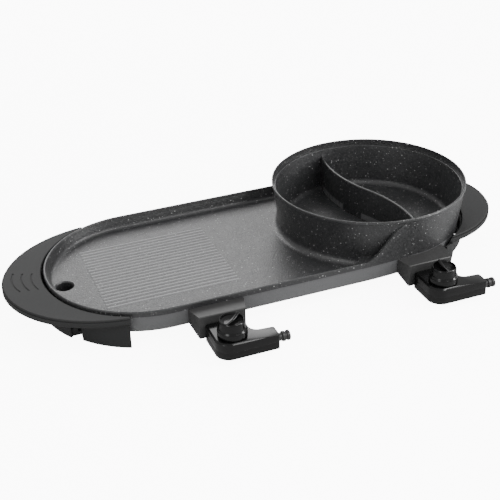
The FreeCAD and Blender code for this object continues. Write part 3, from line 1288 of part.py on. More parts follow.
def probe_nodes(name, x, front, turn):
    return {
        name + "_probe_lower_shell": probe_lower_shell(x, front),
        name + "_probe_upper_shell": probe_upper_shell(x, front),
        name + "_probe_nose": probe_nose(x, front),
        name + "_probe_contacts": probe_contacts(x, front),
        name + "_probe_sensor_rod": probe_rod(x, front),
        name + "_probe_thermostat": probe_thermostat(x, front),
        name + "_probe_strain_relief": strain_relief(x, front),
        name + "_probe_screws": probe_screws(x, front),
        name + "_knob": knob(x, front, turn),
        name + "_knob_spindle": knob_spindle(x, front, turn),
    }


def socket_nodes(name, x, front, path, screws):
    return {
        name + "_heating_element": tube(path, ELEMENT_RADIUS),
        name + "_terminal_pins": terminal_pins(x, front),
        name + "_pin_insulators": pin_insulators(x, front),
        name + "_socket_guard": socket_guard(x, front, screws),
        name + "_guard_screws": guard_screws(screws),
    }


def handle_nodes():
    return {
        "drain_handle_base": handle_base_drain(),
        "drain_handle_cover": drain_handle_cover(),
        "drain_handle_screws": handle_screws(-1),
        "drain_cover_screws": cover_screws(drain_end()),
        "drain_end_feet": rubber_feet(drain_end()),
        "pot_handle_base": handle_base_pot(),
        "pot_handle_cover": mirror_x(handle_cover(pot_end())),
        "pot_handle_screws": handle_screws(1),
        "pot_cover_screws": mirror_x(cover_screws(pot_end())),
        "pot_end_feet": mirror_x(rubber_feet(pot_end())),
    }


def all_nodes():
    grill_screws, pot_screws = guard_screw_places()
    nodes = {"cooking_plate": cooking_plate(), "drip_tray": drip_tray()}
    nodes.update(socket_nodes("grill", GRILL_SOCKET_X, GRILL_FRONT, grill_loop(), grill_screws))
    nodes.update(socket_nodes("pot", POT_SOCKET_X, POT_FRONT, pot_loop(), pot_screws))
    nodes.update(handle_nodes())
    nodes.update(probe_nodes("grill", GRILL_SOCKET_X, GRILL_FRONT, GRILL_KNOB_TURN))
    nodes.update(probe_nodes("pot", POT_SOCKET_X, POT_FRONT, POT_KNOB_TURN))
    return nodes


os.makedirs("parts", exist_ok=True)
for node, shape in all_nodes().items():
    shape.translate(vec(CENTRE_SHIFT_X, CENTRE_SHIFT_Y))
    shape.exportStep("parts/" + node + ".step")
    print(node, len(shape.Solids), "solids,", round(shape.Volume / 1000, 2), "cm3, valid", shape.isValid())
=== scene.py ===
import json
from math import radians

import bmesh
import bpy
from mathutils import Euler, Matrix, Vector

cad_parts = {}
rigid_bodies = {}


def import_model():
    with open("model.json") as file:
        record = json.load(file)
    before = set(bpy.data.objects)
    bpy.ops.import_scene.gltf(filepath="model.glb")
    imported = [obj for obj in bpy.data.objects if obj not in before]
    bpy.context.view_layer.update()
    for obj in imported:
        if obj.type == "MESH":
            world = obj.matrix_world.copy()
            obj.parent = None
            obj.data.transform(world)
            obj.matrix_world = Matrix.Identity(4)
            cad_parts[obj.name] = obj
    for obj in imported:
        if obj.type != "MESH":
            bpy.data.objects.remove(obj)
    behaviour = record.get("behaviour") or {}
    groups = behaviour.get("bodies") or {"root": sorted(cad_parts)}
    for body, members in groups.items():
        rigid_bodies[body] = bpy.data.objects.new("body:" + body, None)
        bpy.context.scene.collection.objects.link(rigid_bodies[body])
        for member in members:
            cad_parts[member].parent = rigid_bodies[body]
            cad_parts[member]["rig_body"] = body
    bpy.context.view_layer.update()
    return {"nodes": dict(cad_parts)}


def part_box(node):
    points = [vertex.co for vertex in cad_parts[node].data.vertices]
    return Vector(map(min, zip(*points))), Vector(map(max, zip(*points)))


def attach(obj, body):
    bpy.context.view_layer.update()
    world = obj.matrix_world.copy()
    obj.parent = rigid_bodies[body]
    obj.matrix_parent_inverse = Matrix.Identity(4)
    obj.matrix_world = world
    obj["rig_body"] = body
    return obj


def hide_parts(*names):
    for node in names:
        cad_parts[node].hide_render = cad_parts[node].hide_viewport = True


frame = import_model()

nodes = frame["nodes"]

# ---- studio ----------------------------------------------------------------------
# A white paper table in an evenly lit room. A large soft box behind the object gives
# the flat faces their sheen, a tall one on the right lights the near and right sides,
# and two weaker ones, on the left and above the front, lift the shadows.
CAMERA_TURN = radians(-20.536)
CAMERA_RISE = radians(29.545)
CAMERA_ROLL = radians(-1.897)
CAMERA_DISTANCE = 1.4662
CAMERA_LENS = 74.593
CAMERA_SENSOR = 36.0
PLATE_CENTRE = sum(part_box("cooking_plate"), Vector()) / 2
LOOKED_AT = Vector((PLATE_CENTRE.x - 0.0319, 0.0001, 0.054))
PAPER_RADIUS = 6.0
PAPER_STEPS = 96
PAPER_WHITE = (0.86, 0.86, 0.86, 1)
PAPER_FIBRE = (0.80, 0.80, 0.80, 1)
PAPER_IN_GLOSS = (0.6, 0.6, 0.6, 1)
PAPER_GLOW = (9.0, 9.0, 9.0, 1)
UNLIT = (0, 0, 0, 1)
FIBRE_SHOW = 0.15
ROOM_WHITE = (1, 1, 1, 1)
ROOM_STRENGTH = 1.0
SOFT_BOXES = {
    "back_box": {"energy": 42, "width": 2.2, "height": 1.2, "place": (0.3, 2.3, 1.45)},
    "right_box": {"energy": 50, "width": 0.5, "height": 1.4, "place": (1.9, -0.9, 0.9)},
    "left_box": {"energy": 15, "width": 0.7, "height": 1.0, "place": (-1.6, -1.0, 1.0)},
    "front_box": {"energy": 24, "width": 1.4, "height": 0.3, "place": (0.9, -1.1, 1.6)},
}

camera = bpy.data.objects.new("camera", bpy.data.cameras.new("camera"))
camera.data.lens = CAMERA_LENS
camera.data.sensor_width = CAMERA_SENSOR
camera.data.clip_end = 2 * PAPER_RADIUS
facing = Euler((radians(90) - CAMERA_RISE, 0, CAMERA_TURN)).to_matrix()
facing = facing @ Matrix.Rotation(CAMERA_ROLL, 3, "Z")
camera.matrix_world = (Matrix.Translation(LOOKED_AT + facing.col[2] * CAMERA_DISTANCE)
                       @ facing.to_4x4())
bpy.context.scene.collection.objects.link(camera)
bpy.context.scene.camera = camera


class Amount:
    """A number in a shader. Arithmetic on it adds the Math nodes."""

    def __init__(self, finish, socket):
        self.finish = finish
        self.socket = socket

    def maths(self, operation, *values):
        return self.finish.node("ShaderNodeMath", {"operation": operation},
                                dict(enumerate(values)))

    def __add__(self, other):
        return self.maths("ADD", self, other)

    def __radd__(self, other):
        return self.maths("ADD", other, self)

    def __sub__(self, other):
        return self.maths("SUBTRACT", self, other)

    def __rsub__(self, other):
        return self.maths("SUBTRACT", other, self)

    def __mul__(self, other):
        return self.maths("MULTIPLY", self, other)

    def __rmul__(self, other):
        return self.maths("MULTIPLY", other, self)

    def step(self, low, high):
        """0 below low, 1 above high, and smooth between them."""
        return self.finish.node("ShaderNodeMapRange", {"interpolation_type": "SMOOTHSTEP"},
                                {"Value": self, "From Min": low, "From Max": high})


class Finish:
    """A material and the nodes that make its look."""

    SPECK_BLUR = 0.4
    DRAW_BLUR = 0.01

    def __init__(self, name):
        self.material = bpy.data.materials.new(name)
        self.material.use_nodes = True
        self.tree = self.material.node_tree
        self.shader = self.tree.nodes["Principled BSDF"]

    def fill(self, node, sockets):
        for place, value in sockets.items():
            if isinstance(value, Amount):
                self.tree.links.new(value.socket, node.inputs[place])
            else:
                node.inputs[place].default_value = value

    def node(self, kind, settings, sockets, output=0):
        node = self.tree.nodes.new(kind)
        for name, value in settings.items():
            setattr(node, name, value)
        self.fill(node, sockets)
        return Amount(self, node.outputs[output])

    def place(self):
        return self.node("ShaderNodeTexCoord", {}, {}, "Object")

    def stretched(self, x, y, z):
        """Object coordinates with each axis drawn out or pressed together."""
        return self.node("ShaderNodeMapping", {}, {"Vector": self.place(), "Scale": (x, y, z)})

    def noise(self, scale, detail=3.0, roughness=0.5, place=None):
        return self.node("ShaderNodeTexNoise", {}, {
            "Vector": place or self.place(), "Scale": scale,
            "Detail": detail, "Roughness": roughness})

    def specks(self, scale, radius, share):
        """Dots of up to a given radius, in cell widths, in a share of the cells."""
        spot = {"Vector": self.place(), "Scale": scale}
        distance = self.node("ShaderNodeTexVoronoi", {}, spot)
        draw = self.node("ShaderNodeTexVoronoi", {}, spot, "Color")
        chance = self.node("ShaderNodeSeparateColor", {}, {0: draw}, "Red")
        size = self.node("ShaderNodeSeparateColor", {}, {0: draw}, "Green")
        dot = 1 - (distance - size * radius).step(0.0, radius * self.SPECK_BLUR)
        return dot * chance.step(1 - share, 1 - share + self.DRAW_BLUR)

    def attribute(self, name):
        """A number that the mesh holds for each of its faces."""
        return self.node("ShaderNodeAttribute", {"attribute_name": name}, {}, "Fac")

    def mixed(self, amount, first, second):
        """Colour that goes from first to second with amount."""
        return self.node("ShaderNodeMix", {"data_type": "RGBA"},
                         {0: amount, 6: first, 7: second}, 2)

    def bump(self, height, depth, strength):
        return self.node("ShaderNodeBump", {}, {
            "Height": height, "Distance": depth, "Strength": strength})

    def surface(self, sockets):
        self.fill(self.shader, sockets)


# The paper glows only where the camera sees it, so it stays white behind the object,
# while gloss and bounced light meet plain paper.
paper = Finish("paper")
fibres = paper.noise(scale=60.0, detail=4.0)
seen = paper.node("ShaderNodeLightPath", {}, {}, "Is Camera Ray")
weave = paper.mixed(fibres * FIBRE_SHOW, PAPER_WHITE, PAPER_FIBRE)
paper.surface({
    "Base Color": paper.mixed(seen, PAPER_IN_GLOSS, weave),
    "Roughness": 0.9,
    "Specular IOR Level": 0.2,
    "Emission Color": paper.mixed(seen, UNLIT, PAPER_GLOW),
    "Emission Strength": 1.0,
})
sheet = bmesh.new()
bmesh.ops.create_circle(sheet, cap_ends=True, segments=PAPER_STEPS, radius=PAPER_RADIUS)
floor_mesh = bpy.data.meshes.new("floor")
sheet.to_mesh(floor_mesh)
sheet.free()
floor = bpy.data.objects.new("floor", floor_mesh)
floor.data.materials.append(paper.material)
bpy.context.scene.collection.objects.link(floor)

for name, box in SOFT_BOXES.items():
    lamp = bpy.data.objects.new(name, bpy.data.lights.new(name, "AREA"))
    lamp.data.shape = "RECTANGLE"
    lamp.data.size = box["width"]
    lamp.data.size_y = box["height"]
    lamp.data.energy = box["energy"]
    aim = (LOOKED_AT - Vector(box["place"])).to_track_quat("-Z", "Y")
    lamp.matrix_world = Matrix.Translation(box["place"]) @ aim.to_matrix().to_4x4()
    bpy.context.scene.collection.objects.link(lamp)
world = bpy.data.worlds.new("room")
world.use_nodes = True
world.node_tree.nodes["Background"].inputs["Color"].default_value = ROOM_WHITE
world.node_tree.nodes["Background"].inputs["Strength"].default_value = ROOM_STRENGTH
bpy.context.scene.world = world

# ---- cooking plate ---------------------------------------------------------------
# One aluminium die casting: the ridged grill pan, the divided pot and the channels
# for the heaters. Inside, and over the rim, it is blasted and sprayed with a dark
# non-stick coating full of pale mineral specks; below the rim it has smooth grey paint.
PLATE_EDGE = 0.0004
CREST_EDGE = 0.0011
CREST_STEPS = 3
CREST_BOTTOM = 0.0475          # sharp edges above this are rims and crests
MERGED = 0.00001               # corners nearer than this are one corner
FLAT = radians(0.6)            # faces that meet at less than this are one face
SHARP = radians(32)            # edges that turn by more than this are sharp
LEVEL = 0.9999                 # upward share of a level face's normal
BROAD = 0.0001                 # area from which a level face is shaded flat
PAINT_LINE = 0.0462            # height where coating and paint meet
PAINT_DEPTH = 0.025            # the outer wall lies this near the round outline
FACING_OUT = 0.5               # outward share of a painted wall's normal
RIM_HIGHLIGHT = 0.5                  # strength of the painted highlight on the rims, from 0 to 1
# the grill's ridges get the painted highlight at full strength
RIDGE_HIGHLIGHT = 1.0
RIDGES_LOW = Vector((-0.2500, -0.0430, 0.0371))    # corners of a box round the ridges
RIDGES_HIGH = Vector((-0.0590, 0.1230, 0.0385))
CHARCOAL_DARK = (0.013, 0.0133, 0.014, 1)
CHARCOAL_PALE = (0.019, 0.0194, 0.02, 1)
GRANULE_GREY = (0.045, 0.0455, 0.0465, 1)
PIT_BLACK = (0.004, 0.004, 0.0042, 1)
DUST_GREY = (0.1, 0.1, 0.102, 1)
FLAKE_WHITE = (0.25, 0.25, 0.25, 1)
# pale grey of the painted highlight, which stands in for the sheen on rims and ridges
HIGHLIGHT_GREY = (0.2, 0.2, 0.203, 1)
PAINT_GREY = (0.082, 0.083, 0.085, 1)
GRANULE_SHOW = 0.6
DUST_SHOW = 0.6
FLAKE_SHOW = 0.85
HIGHLIGHT_SHOW = 0.65


def merged_copy(node):
    """The mesh of one CAD node with its doubles merged and its flat faces made whole."""
    mesh = bmesh.new()
    mesh.from_mesh(nodes[node].data)
    bmesh.ops.remove_doubles(mesh, verts=mesh.verts, dist=MERGED)
    bmesh.ops.dissolve_limit(mesh, angle_limit=FLAT, verts=mesh.verts, edges=mesh.edges)
    return mesh


def sharp_edges(mesh):
    return [edge for edge in mesh.edges if edge.is_manifold and edge.calc_face_angle() > SHARP]


def soften(mesh, width, segments=2, edges=None):
    """Rounds sharp edges, as a mould or a worn coating leaves them; returns the new faces."""
    rounded = bmesh.ops.bevel(
        mesh, geom=edges or sharp_edges(mesh), offset=width, affect="EDGES",
        segments=segments, profile=0.5, material=-1, clamp_overlap=True)
    return rounded["faces"]


def finish_piece(mesh, name, material, node):
    """Makes the piece that stands for a CAD node, smooth except at edges and broad flats."""
    for face in mesh.faces:
        face.smooth = abs(face.normal.z) < LEVEL or face.calc_area() < BROAD
    for edge in sharp_edges(mesh):
        edge.smooth = False
    data = bpy.data.meshes.new(name)
    mesh.to_mesh(data)
    mesh.free()
    piece = bpy.data.objects.new(name, data)
    piece.data.materials.append(material)
    bpy.context.scene.collection.objects.link(piece)
    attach(piece, nodes[node]["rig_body"])
    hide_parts(node)


def round_crests(mesh):
    """Rounds the rims and the crest of the pot's sweep more, and marks them for a
    half-strength painted highlight.
    """
    painted_highlight = mesh.faces.layers.float.new("painted_highlight")
    crests = [edge for edge in sharp_edges(mesh)
              if min(vert.co.z for vert in edge.verts) > CREST_BOTTOM]
    for face in soften(mesh, CREST_EDGE, CREST_STEPS, crests):
        face[painted_highlight] = RIM_HIGHLIGHT


def mark_ridges(mesh):
    """Marks the grill's ridges for a full painted highlight, paler colour in place of the
    sheen on them.
    """
    painted_highlight = mesh.faces.layers.float["painted_highlight"]
    for face in mesh.faces:
        centre = face.calc_center_median()
        if all(low < at < high for low, at, high in zip(RIDGES_LOW, centre, RIDGES_HIGH)):
            face[painted_highlight] = RIDGE_HIGHLIGHT


def mark_painted(mesh):
    """Cuts the mesh at the paint line, and marks the outside wall and underside below it."""
    low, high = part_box("cooking_plate")
    round_end = (high.y - low.y) / 2
    bmesh.ops.bisect_plane(mesh, geom=mesh.verts[:] + mesh.edges[:] + mesh.faces[:],
                           dist=MERGED, plane_co=(0, 0, PAINT_LINE), plane_no=(0, 0, 1))
    painted = mesh.faces.layers.float.new("painted")
    for face in mesh.faces:
        centre = face.calc_center_median()
        middle_x = min(max(centre.x, low.x + round_end), high.x - round_end)
        out = Vector((centre.x - middle_x, centre.y - PLATE_CENTRE.y, 0))
        at_wall = out.length > round_end - PAINT_DEPTH
        outside = at_wall and face.normal.dot(out.normalized()) > FACING_OUT
        face[painted] = float(centre.z < PAINT_LINE and (outside or face.normal.z < 0))


coating = Finish("speckled_coating")
cloud = coating.noise(scale=9.0)
grain = coating.noise(scale=1100.0, detail=2.0)
peel = coating.noise(scale=420.0)
flakes = coating.specks(scale=230.0, radius=0.18, share=0.6)
dust = coating.specks(scale=480.0, radius=0.28, share=0.5)
granules = coating.noise(scale=520.0, detail=2.0, roughness=0.6)
charcoal = coating.mixed(cloud.step(0.35, 0.7), CHARCOAL_DARK, CHARCOAL_PALE)
charcoal = coating.mixed(granules.step(0.55, 0.75) * GRANULE_SHOW, charcoal, GRANULE_GREY)
charcoal = coating.mixed(granules.step(0.3, 0.45), PIT_BLACK, charcoal)
charcoal = coating.mixed(dust * DUST_SHOW, charcoal, DUST_GREY)
speckled = coating.mixed(flakes * FLAKE_SHOW, charcoal, FLAKE_WHITE)
# painted highlight: rims, sweep crest and grill ridges turn paler grey in place of the sheen
# on them
speckled = coating.mixed(coating.attribute("painted_highlight") * HIGHLIGHT_SHOW, speckled, HIGHLIGHT_GREY)
coating.surface({
    "Base Color": coating.mixed(coating.attribute("painted"), speckled, PAINT_GREY),
    "Roughness": 0.28 + cloud * 0.08 + granules.step(0.42, 0.68) * 0.22,
    "Normal": coating.bump(peel + grain * 0.5, depth=0.0005, strength=0.9),
})
plate = merged_copy("cooking_plate")
round_crests(plate)
soften(plate, PLATE_EDGE)
mark_ridges(plate)
mark_painted(plate)
finish_piece(plate, "plate_casting", coating.material, "cooking_plate")

# ---- heating elements ------------------------------------------------------------
# Two bent tubular heaters, one round the grill floor and one round the pot, pressed
# into the casting's channels. Their drawn steel sheaths are straw and blue from heat.
SHEATH_STRAW = (0.21, 0.19, 0.16, 1)
SHEATH_BROWN = (0.12, 0.10, 0.09, 1)
SHEATH_BLUE = (0.08, 0.085, 0.11, 1)
sheath = Finish("heater_sheath")
tint = sheath.noise(scale=30.0, detail=4.0)
drawn = sheath.noise(scale=900.0, detail=2.0)
heated = sheath.mixed(tint.step(0.35, 0.6), SHEATH_STRAW, SHEATH_BROWN)
sheath.surface({
    "Base Color": sheath.mixed(tint.step(0.6, 0.75), heated, SHEATH_BLUE),
    "Metallic": 1.0,
    "Roughness": 0.34 + drawn * 0.2,
    "Normal": sheath.bump(drawn, depth=0.00004, strength=0.5),
})
for socket in ("grill", "pot"):
    node = socket + "_heating_element"
    finish_piece(merged_copy(node), socket + "_heater_tube", sheath.material, node)

# ---- terminal pins ---------------------------------------------------------------
# Nickel-plated steel pins crimped on the heater ends, each in a steatite bush.
PIN_EDGE = 0.0007
PIN_EDGE_STEPS = 3
BUSH_EDGE = 0.0005
NICKEL_WARM = (0.56, 0.54, 0.49, 1)
NICKEL_PALE = (0.66, 0.64, 0.60, 1)
STEATITE_CREAM = (0.72, 0.69, 0.62, 1)
STEATITE_PORE = (0.62, 0.59, 0.52, 1)


def dress(node, name, material, edge, segments=2):
    """Makes a piece from a CAD node by rounding its sharp edges."""
    mesh = merged_copy(node)
    soften(mesh, edge, segments)
    finish_piece(mesh, name, material, node)


nickel = Finish("nickel_plate")
streaks = nickel.noise(scale=260.0, roughness=0.6, place=nickel.stretched(6.0, 0.4, 6.0))
nickel.surface({
    "Base Color": nickel.mixed(streaks, NICKEL_WARM, NICKEL_PALE),
    "Metallic": 1.0,
    "Roughness": 0.2 + streaks * 0.2,
})
steatite = Finish("steatite")
pores = steatite.noise(scale=900.0)
steatite.surface({
    "Base Color": steatite.mixed(pores.step(0.4, 0.7), STEATITE_CREAM, STEATITE_PORE),
    "Roughness": 0.45 + pores * 0.15,
    "Normal": steatite.bump(pores, depth=0.00008, strength=0.5),
})
for socket in ("grill", "pot"):
    dress(socket + "_terminal_pins", socket + "_plug_pins", nickel.material,
          PIN_EDGE, PIN_EDGE_STEPS)
    dress(socket + "_pin_insulators", socket + "_pin_bushes", steatite.material, BUSH_EDGE)

# ---- socket guards ---------------------------------------------------------------
# A hood of matte black plastic round each pair of terminal pins, screwed up under the
# plate by two tabs.
GUARD_EDGE = 0.0008
HOOD_DARK = (0.023, 0.023, 0.023, 1)
HOOD_PALE = (0.029, 0.029, 0.029, 1)
hood_plastic = Finish("matte_black_plastic")
hood_grain = hood_plastic.noise(scale=1400.0, detail=2.0)
hood_plastic.surface({
    "Base Color": hood_plastic.mixed(hood_plastic.noise(scale=25.0), HOOD_DARK, HOOD_PALE),
    "Roughness": 0.4 + hood_grain * 0.15,
    "Specular IOR Level": 0.35,
    "Normal": hood_plastic.bump(hood_grain, depth=0.00006, strength=0.7),
})
for socket in ("grill", "pot"):
    dress(socket + "_socket_guard", socket + "_socket_hood", hood_plastic.material, GUARD_EDGE)

# ---- handles ---------------------------------------------------------------------
# Each handle is a crescent tray of grey phenolic moulding with its legs, closed by a
# thin cover that is screwed on from below. The moulds were spark-eroded, so the
# plastic has a fine matte grain.
BASE_EDGE = 0.0008
COVER_EDGE = 0.0006
PHENOLIC_DARK = (0.020, 0.0202, 0.0204, 1)
PHENOLIC_PALE = (0.025, 0.0252, 0.0254, 1)
phenolic = Finish("grey_phenolic")
mottle = phenolic.noise(scale=14.0)
spark = phenolic.noise(scale=1500.0, detail=2.0)
phenolic.surface({
    "Base Color": phenolic.mixed(mottle, PHENOLIC_DARK, PHENOLIC_PALE),
    "Roughness": 0.5 + spark * 0.16,
    "Specular IOR Level": 0.1,
    "Normal": phenolic.bump(spark, depth=0.00006, strength=0.7),
})
for end in ("drain", "pot"):
    dress(end + "_handle_base", end + "_grip_tray", phenolic.material, BASE_EDGE)
    dress(end + "_handle_cover", end + "_grip_cover", phenolic.material, COVER_EDGE)

# ---- screws under the object -----------------------------------------------------
# Zinc-plated pan-head screws with a cross recess, driven up from below: into the
# plate's bosses through the guards and handles, into the covers, and into the probes.
LARGE_SCREW = {"shank": 0.0019, "head": 0.0023}
SMALL_SCREW = {"shank": 0.00145, "head": 0.0019}
SCREWS = {
    "grill_guard_screws": LARGE_SCREW, "pot_guard_screws": LARGE_SCREW,
    "drain_handle_screws": LARGE_SCREW, "pot_handle_screws": LARGE_SCREW,
    "drain_cover_screws": SMALL_SCREW, "pot_cover_screws": SMALL_SCREW,
    "grill_probe_screws": SMALL_SCREW, "pot_probe_screws": SMALL_SCREW,
}
HEAD_CELLS = 5
HEAD_RIM = 0.9                 # shares of the head's radius
CROSS_REACH = 0.5
RECESS_DEPTH = 0.55            # shares of the head's height
DOME_RISE = 0.4
POINT_WIDTH = 0.3              # share of the shank's radius
ZINC_DULL = (0.46, 0.46, 0.47, 1)
ZINC_BRIGHT = (0.62, 0.62, 0.63, 1)
zinc = Finish("zinc_plate")
bloom = zinc.noise(scale=320.0)
zinc.surface({
    "Base Color": zinc.mixed(bloom, ZINC_DULL, ZINC_BRIGHT),
    "Metallic": 1.0,
    "Roughness": 0.28 + bloom * 0.2,
})


def loose_parts(node):
    """Lowest and highest corner of each separate solid of a CAD node."""
    mesh = merged_copy(node)
    waiting = set(mesh.verts)
    corners = []
    while waiting:
        front = [waiting.pop()]
        found = list(front)
        while front:
            vert = front.pop()
            near = {edge.other_vert(vert) for edge in vert.link_edges} & waiting
            waiting -= near
            front.extend(near)
            found.extend(near)
        low = Vector([min(vert.co[axis] for vert in found) for axis in range(3)])
        high = Vector([max(vert.co[axis] for vert in found) for axis in range(3)])
        corners.append((low, high))
    mesh.free()
    return corners


def only_kind(geometry, kind):
    """The corners, edges or faces of an operator's result."""
    return [item for item in geometry if isinstance(item, kind)]


def drawn_on(mesh, edges, rise, radius):
    """Extrudes a ring of edges upwards to a new radius about the Z axis."""
    made = bmesh.ops.extrude_edge_only(mesh, edges=edges)["geom"]
    for vert in only_kind(made, bmesh.types.BMVert):
        flat = Vector((vert.co.x, vert.co.y, 0)).normalized() * radius
        vert.co = Vector((flat.x, flat.y, vert.co.z + rise))
    return only_kind(made, bmesh.types.BMEdge)


def pan_head_screw(radius, length, sizes):
    """One screw, its head down, with the lowest point of the head at the origin."""
    mesh = bmesh.new()
    bmesh.ops.create_grid(mesh, x_segments=HEAD_CELLS, y_segments=HEAD_CELLS, size=radius)
    bmesh.ops.reverse_faces(mesh, faces=mesh.faces)
    dome = sizes["head"] * DOME_RISE
    rim = [edge for edge in mesh.edges if edge.is_boundary]
    for vert in {vert for edge in rim for vert in edge.verts}:
        flat = vert.co.normalized() * radius
        vert.co = Vector((flat.x, flat.y, dome))
    cross = [face for face in mesh.faces
             if face.calc_center_median().xy.length < CROSS_REACH * radius]
    recess = bmesh.ops.extrude_face_region(mesh, geom=cross)["geom"]
    bmesh.ops.translate(mesh, verts=only_kind(recess, bmesh.types.BMVert),
                        vec=(0, 0, sizes["head"] * RECESS_DEPTH))
    bmesh.ops.delete(mesh, geom=cross, context="FACES_ONLY")
    rim = [edge for edge in mesh.edges
           if edge.is_boundary and edge.verts[0].co.xy.length > radius * HEAD_RIM]
    shoulder = drawn_on(mesh, rim, sizes["head"] - dome, radius)
    neck = drawn_on(mesh, shoulder, 0, sizes["shank"])
    tip = drawn_on(mesh, neck, length - sizes["head"] - sizes["shank"], sizes["shank"])
    point = drawn_on(mesh, tip, sizes["shank"], sizes["shank"] * POINT_WIDTH)
    bmesh.ops.contextual_create(mesh, geom=point)
    bmesh.ops.recalc_face_normals(mesh, faces=mesh.faces)
    return mesh


def gather(whole, part):
    """Moves the mesh of one loose part into the piece that it belongs to."""
    carried = bpy.data.meshes.new("carried")
    part.to_mesh(carried)
    part.free()
    whole.from_mesh(carried)
    bpy.data.meshes.remove(carried)


for node, sizes in SCREWS.items():
    screws = bmesh.new()
    for low, high in loose_parts(node):
        single = pan_head_screw((high.x - low.x) / 2, high.z - low.z, sizes)
        place = Vector(((low.x + high.x) / 2, (low.y + high.y) / 2, low.z))
        bmesh.ops.translate(single, verts=single.verts, vec=place)
        gather(screws, single)
    finish_piece(screws, node.replace("screws", "cross_heads"), zinc.material, node)

# ---- feet ------------------------------------------------------------------------
# Dark grey rubber buttons whose stems are pressed into the legs. Each has a shallow
# hollow under it that grips the table.
FOOT_EDGE = 0.00045
FOOT_EDGE_STEPS = 3
FOOT_RING = 0.0018
FOOT_HOLLOW = 0.0007
FACING_DOWN = -0.9
RUBBER_DARK = (0.018, 0.018, 0.018, 1)
RUBBER_CHALKY = (0.03, 0.03, 0.03, 1)
rubber = Finish("foot_rubber")
chalk = rubber.noise(scale=220.0, detail=4.0)
rubber.surface({
    "Base Color": rubber.mixed(chalk, RUBBER_DARK, RUBBER_CHALKY),
    "Roughness": 0.72 + chalk * 0.15,
    "Specular IOR Level": 0.3,
    "Normal": rubber.bump(chalk, depth=0.0001, strength=0.6),
})
for end in ("drain", "pot"):
    feet = merged_copy(end + "_end_feet")
    soles = [face for face in feet.faces
             if face.normal.z < FACING_DOWN and face.calc_center_median().z < MERGED]
    bmesh.ops.inset_individual(feet, faces=soles, thickness=FOOT_RING)
    bmesh.ops.inset_individual(feet, faces=soles, thickness=FOOT_HOLLOW)
    for sole in soles:
        bmesh.ops.translate(feet, verts=sole.verts, vec=(0, 0, FOOT_HOLLOW))
    soften(feet, FOOT_EDGE, FOOT_EDGE_STEPS)
    finish_piece(feet, end + "_rubber_feet", rubber.material, end + "_end_feet")

# ---- drip tray -------------------------------------------------------------------
# A shallow tray of dark plastic that hangs by its two rims in the runners of the
# drain-end handle. It is one thin moulding with a curved front panel.
TRAY_EDGE = 0.0005
TRAY_DARK = (0.012, 0.012, 0.0124, 1)
TRAY_PALE = (0.015, 0.015, 0.0155, 1)
tray_plastic = Finish("tray_plastic")
tray_grain = tray_plastic.noise(scale=1300.0, detail=2.0)
tray_plastic.surface({
    "Base Color": tray_plastic.mixed(tray_plastic.noise(scale=20.0), TRAY_DARK, TRAY_PALE),
    "Roughness": 0.42 + tray_grain * 0.15,
    "Specular IOR Level": 0.3,
    "Normal": tray_plastic.bump(tray_grain, depth=0.00005, strength=0.6),
})
dress("drip_tray", "fat_tray", tray_plastic.material, TRAY_EDGE)

# ---- probe bodies ----------------------------------------------------------------
# Two glossy black mouldings make the body of each plug-in thermostat, screwed together
# from below round the switch and its sensor tube; a nose of heat-proof plastic carries
# the contacts that slide over the pins.
SHELL_EDGE = 0.0009
NOSE_EDGE = 0.0006
CONTACT_EDGE = 0.0003
ROD_EDGE = 0.0022
SWITCH_EDGE = 0.0006
GLOSS_DEEP = (0.0014, 0.0014, 0.0015, 1)
GLOSS_PALE = (0.0028, 0.0028, 0.0029, 1)
NOSE_DARK = (0.008, 0.008, 0.008, 1)
NOSE_PALE = (0.016, 0.0155, 0.015, 1)
STEEL_DULL = (0.42, 0.42, 0.42, 1)
STEEL_BRIGHT = (0.6, 0.6, 0.59, 1)
gloss = Finish("gloss_black_plastic")
smear = gloss.noise(scale=35.0, detail=4.0, roughness=0.6)
gloss.surface({
    "Base Color": gloss.mixed(smear, GLOSS_DEEP, GLOSS_PALE),
    "Roughness": 0.12 + smear * 0.12,
    "Specular IOR Level": 0.24,
    "Normal": gloss.bump(gloss.noise(scale=180.0, detail=2.0), depth=0.00003, strength=0.4),
})
nose_plastic = Finish("nose_plastic")
flow = nose_plastic.noise(scale=160.0, detail=4.0)
nose_plastic.surface({
    "Base Color": nose_plastic.mixed(flow, NOSE_DARK, NOSE_PALE),
    "Roughness": 0.5 + flow * 0.15,
    "Normal": nose_plastic.bump(flow, depth=0.00005, strength=0.5),
})
steel = Finish("drawn_steel")
lines = steel.noise(scale=700.0, detail=2.0, place=steel.stretched(3.0, 0.1, 3.0))
steel.surface({
    "Base Color": steel.mixed(lines, STEEL_DULL, STEEL_BRIGHT),
    "Metallic": 1.0,
    "Roughness": 0.22 + lines * 0.18,
})
PROBE_PARTS = (                # (CAD node, piece, material, edge, steps in the edge)
    ("lower_shell", "body_lower_shell", gloss.material, SHELL_EDGE, 3),
    ("upper_shell", "body_upper_shell", gloss.material, SHELL_EDGE, 3),
    ("nose", "contact_nose", nose_plastic.material, NOSE_EDGE, 2),
    ("contacts", "spring_contacts", nickel.material, CONTACT_EDGE, 2),
    ("sensor_rod", "sensor_tube", steel.material, ROD_EDGE, 4),
    ("thermostat", "switch_block", steatite.material, SWITCH_EDGE, 2),
)
for socket in ("grill", "pot"):
    for part, name, material, edge, steps in PROBE_PARTS:
        dress(socket + "_probe_" + part, socket + "_" + name, material, edge, steps)
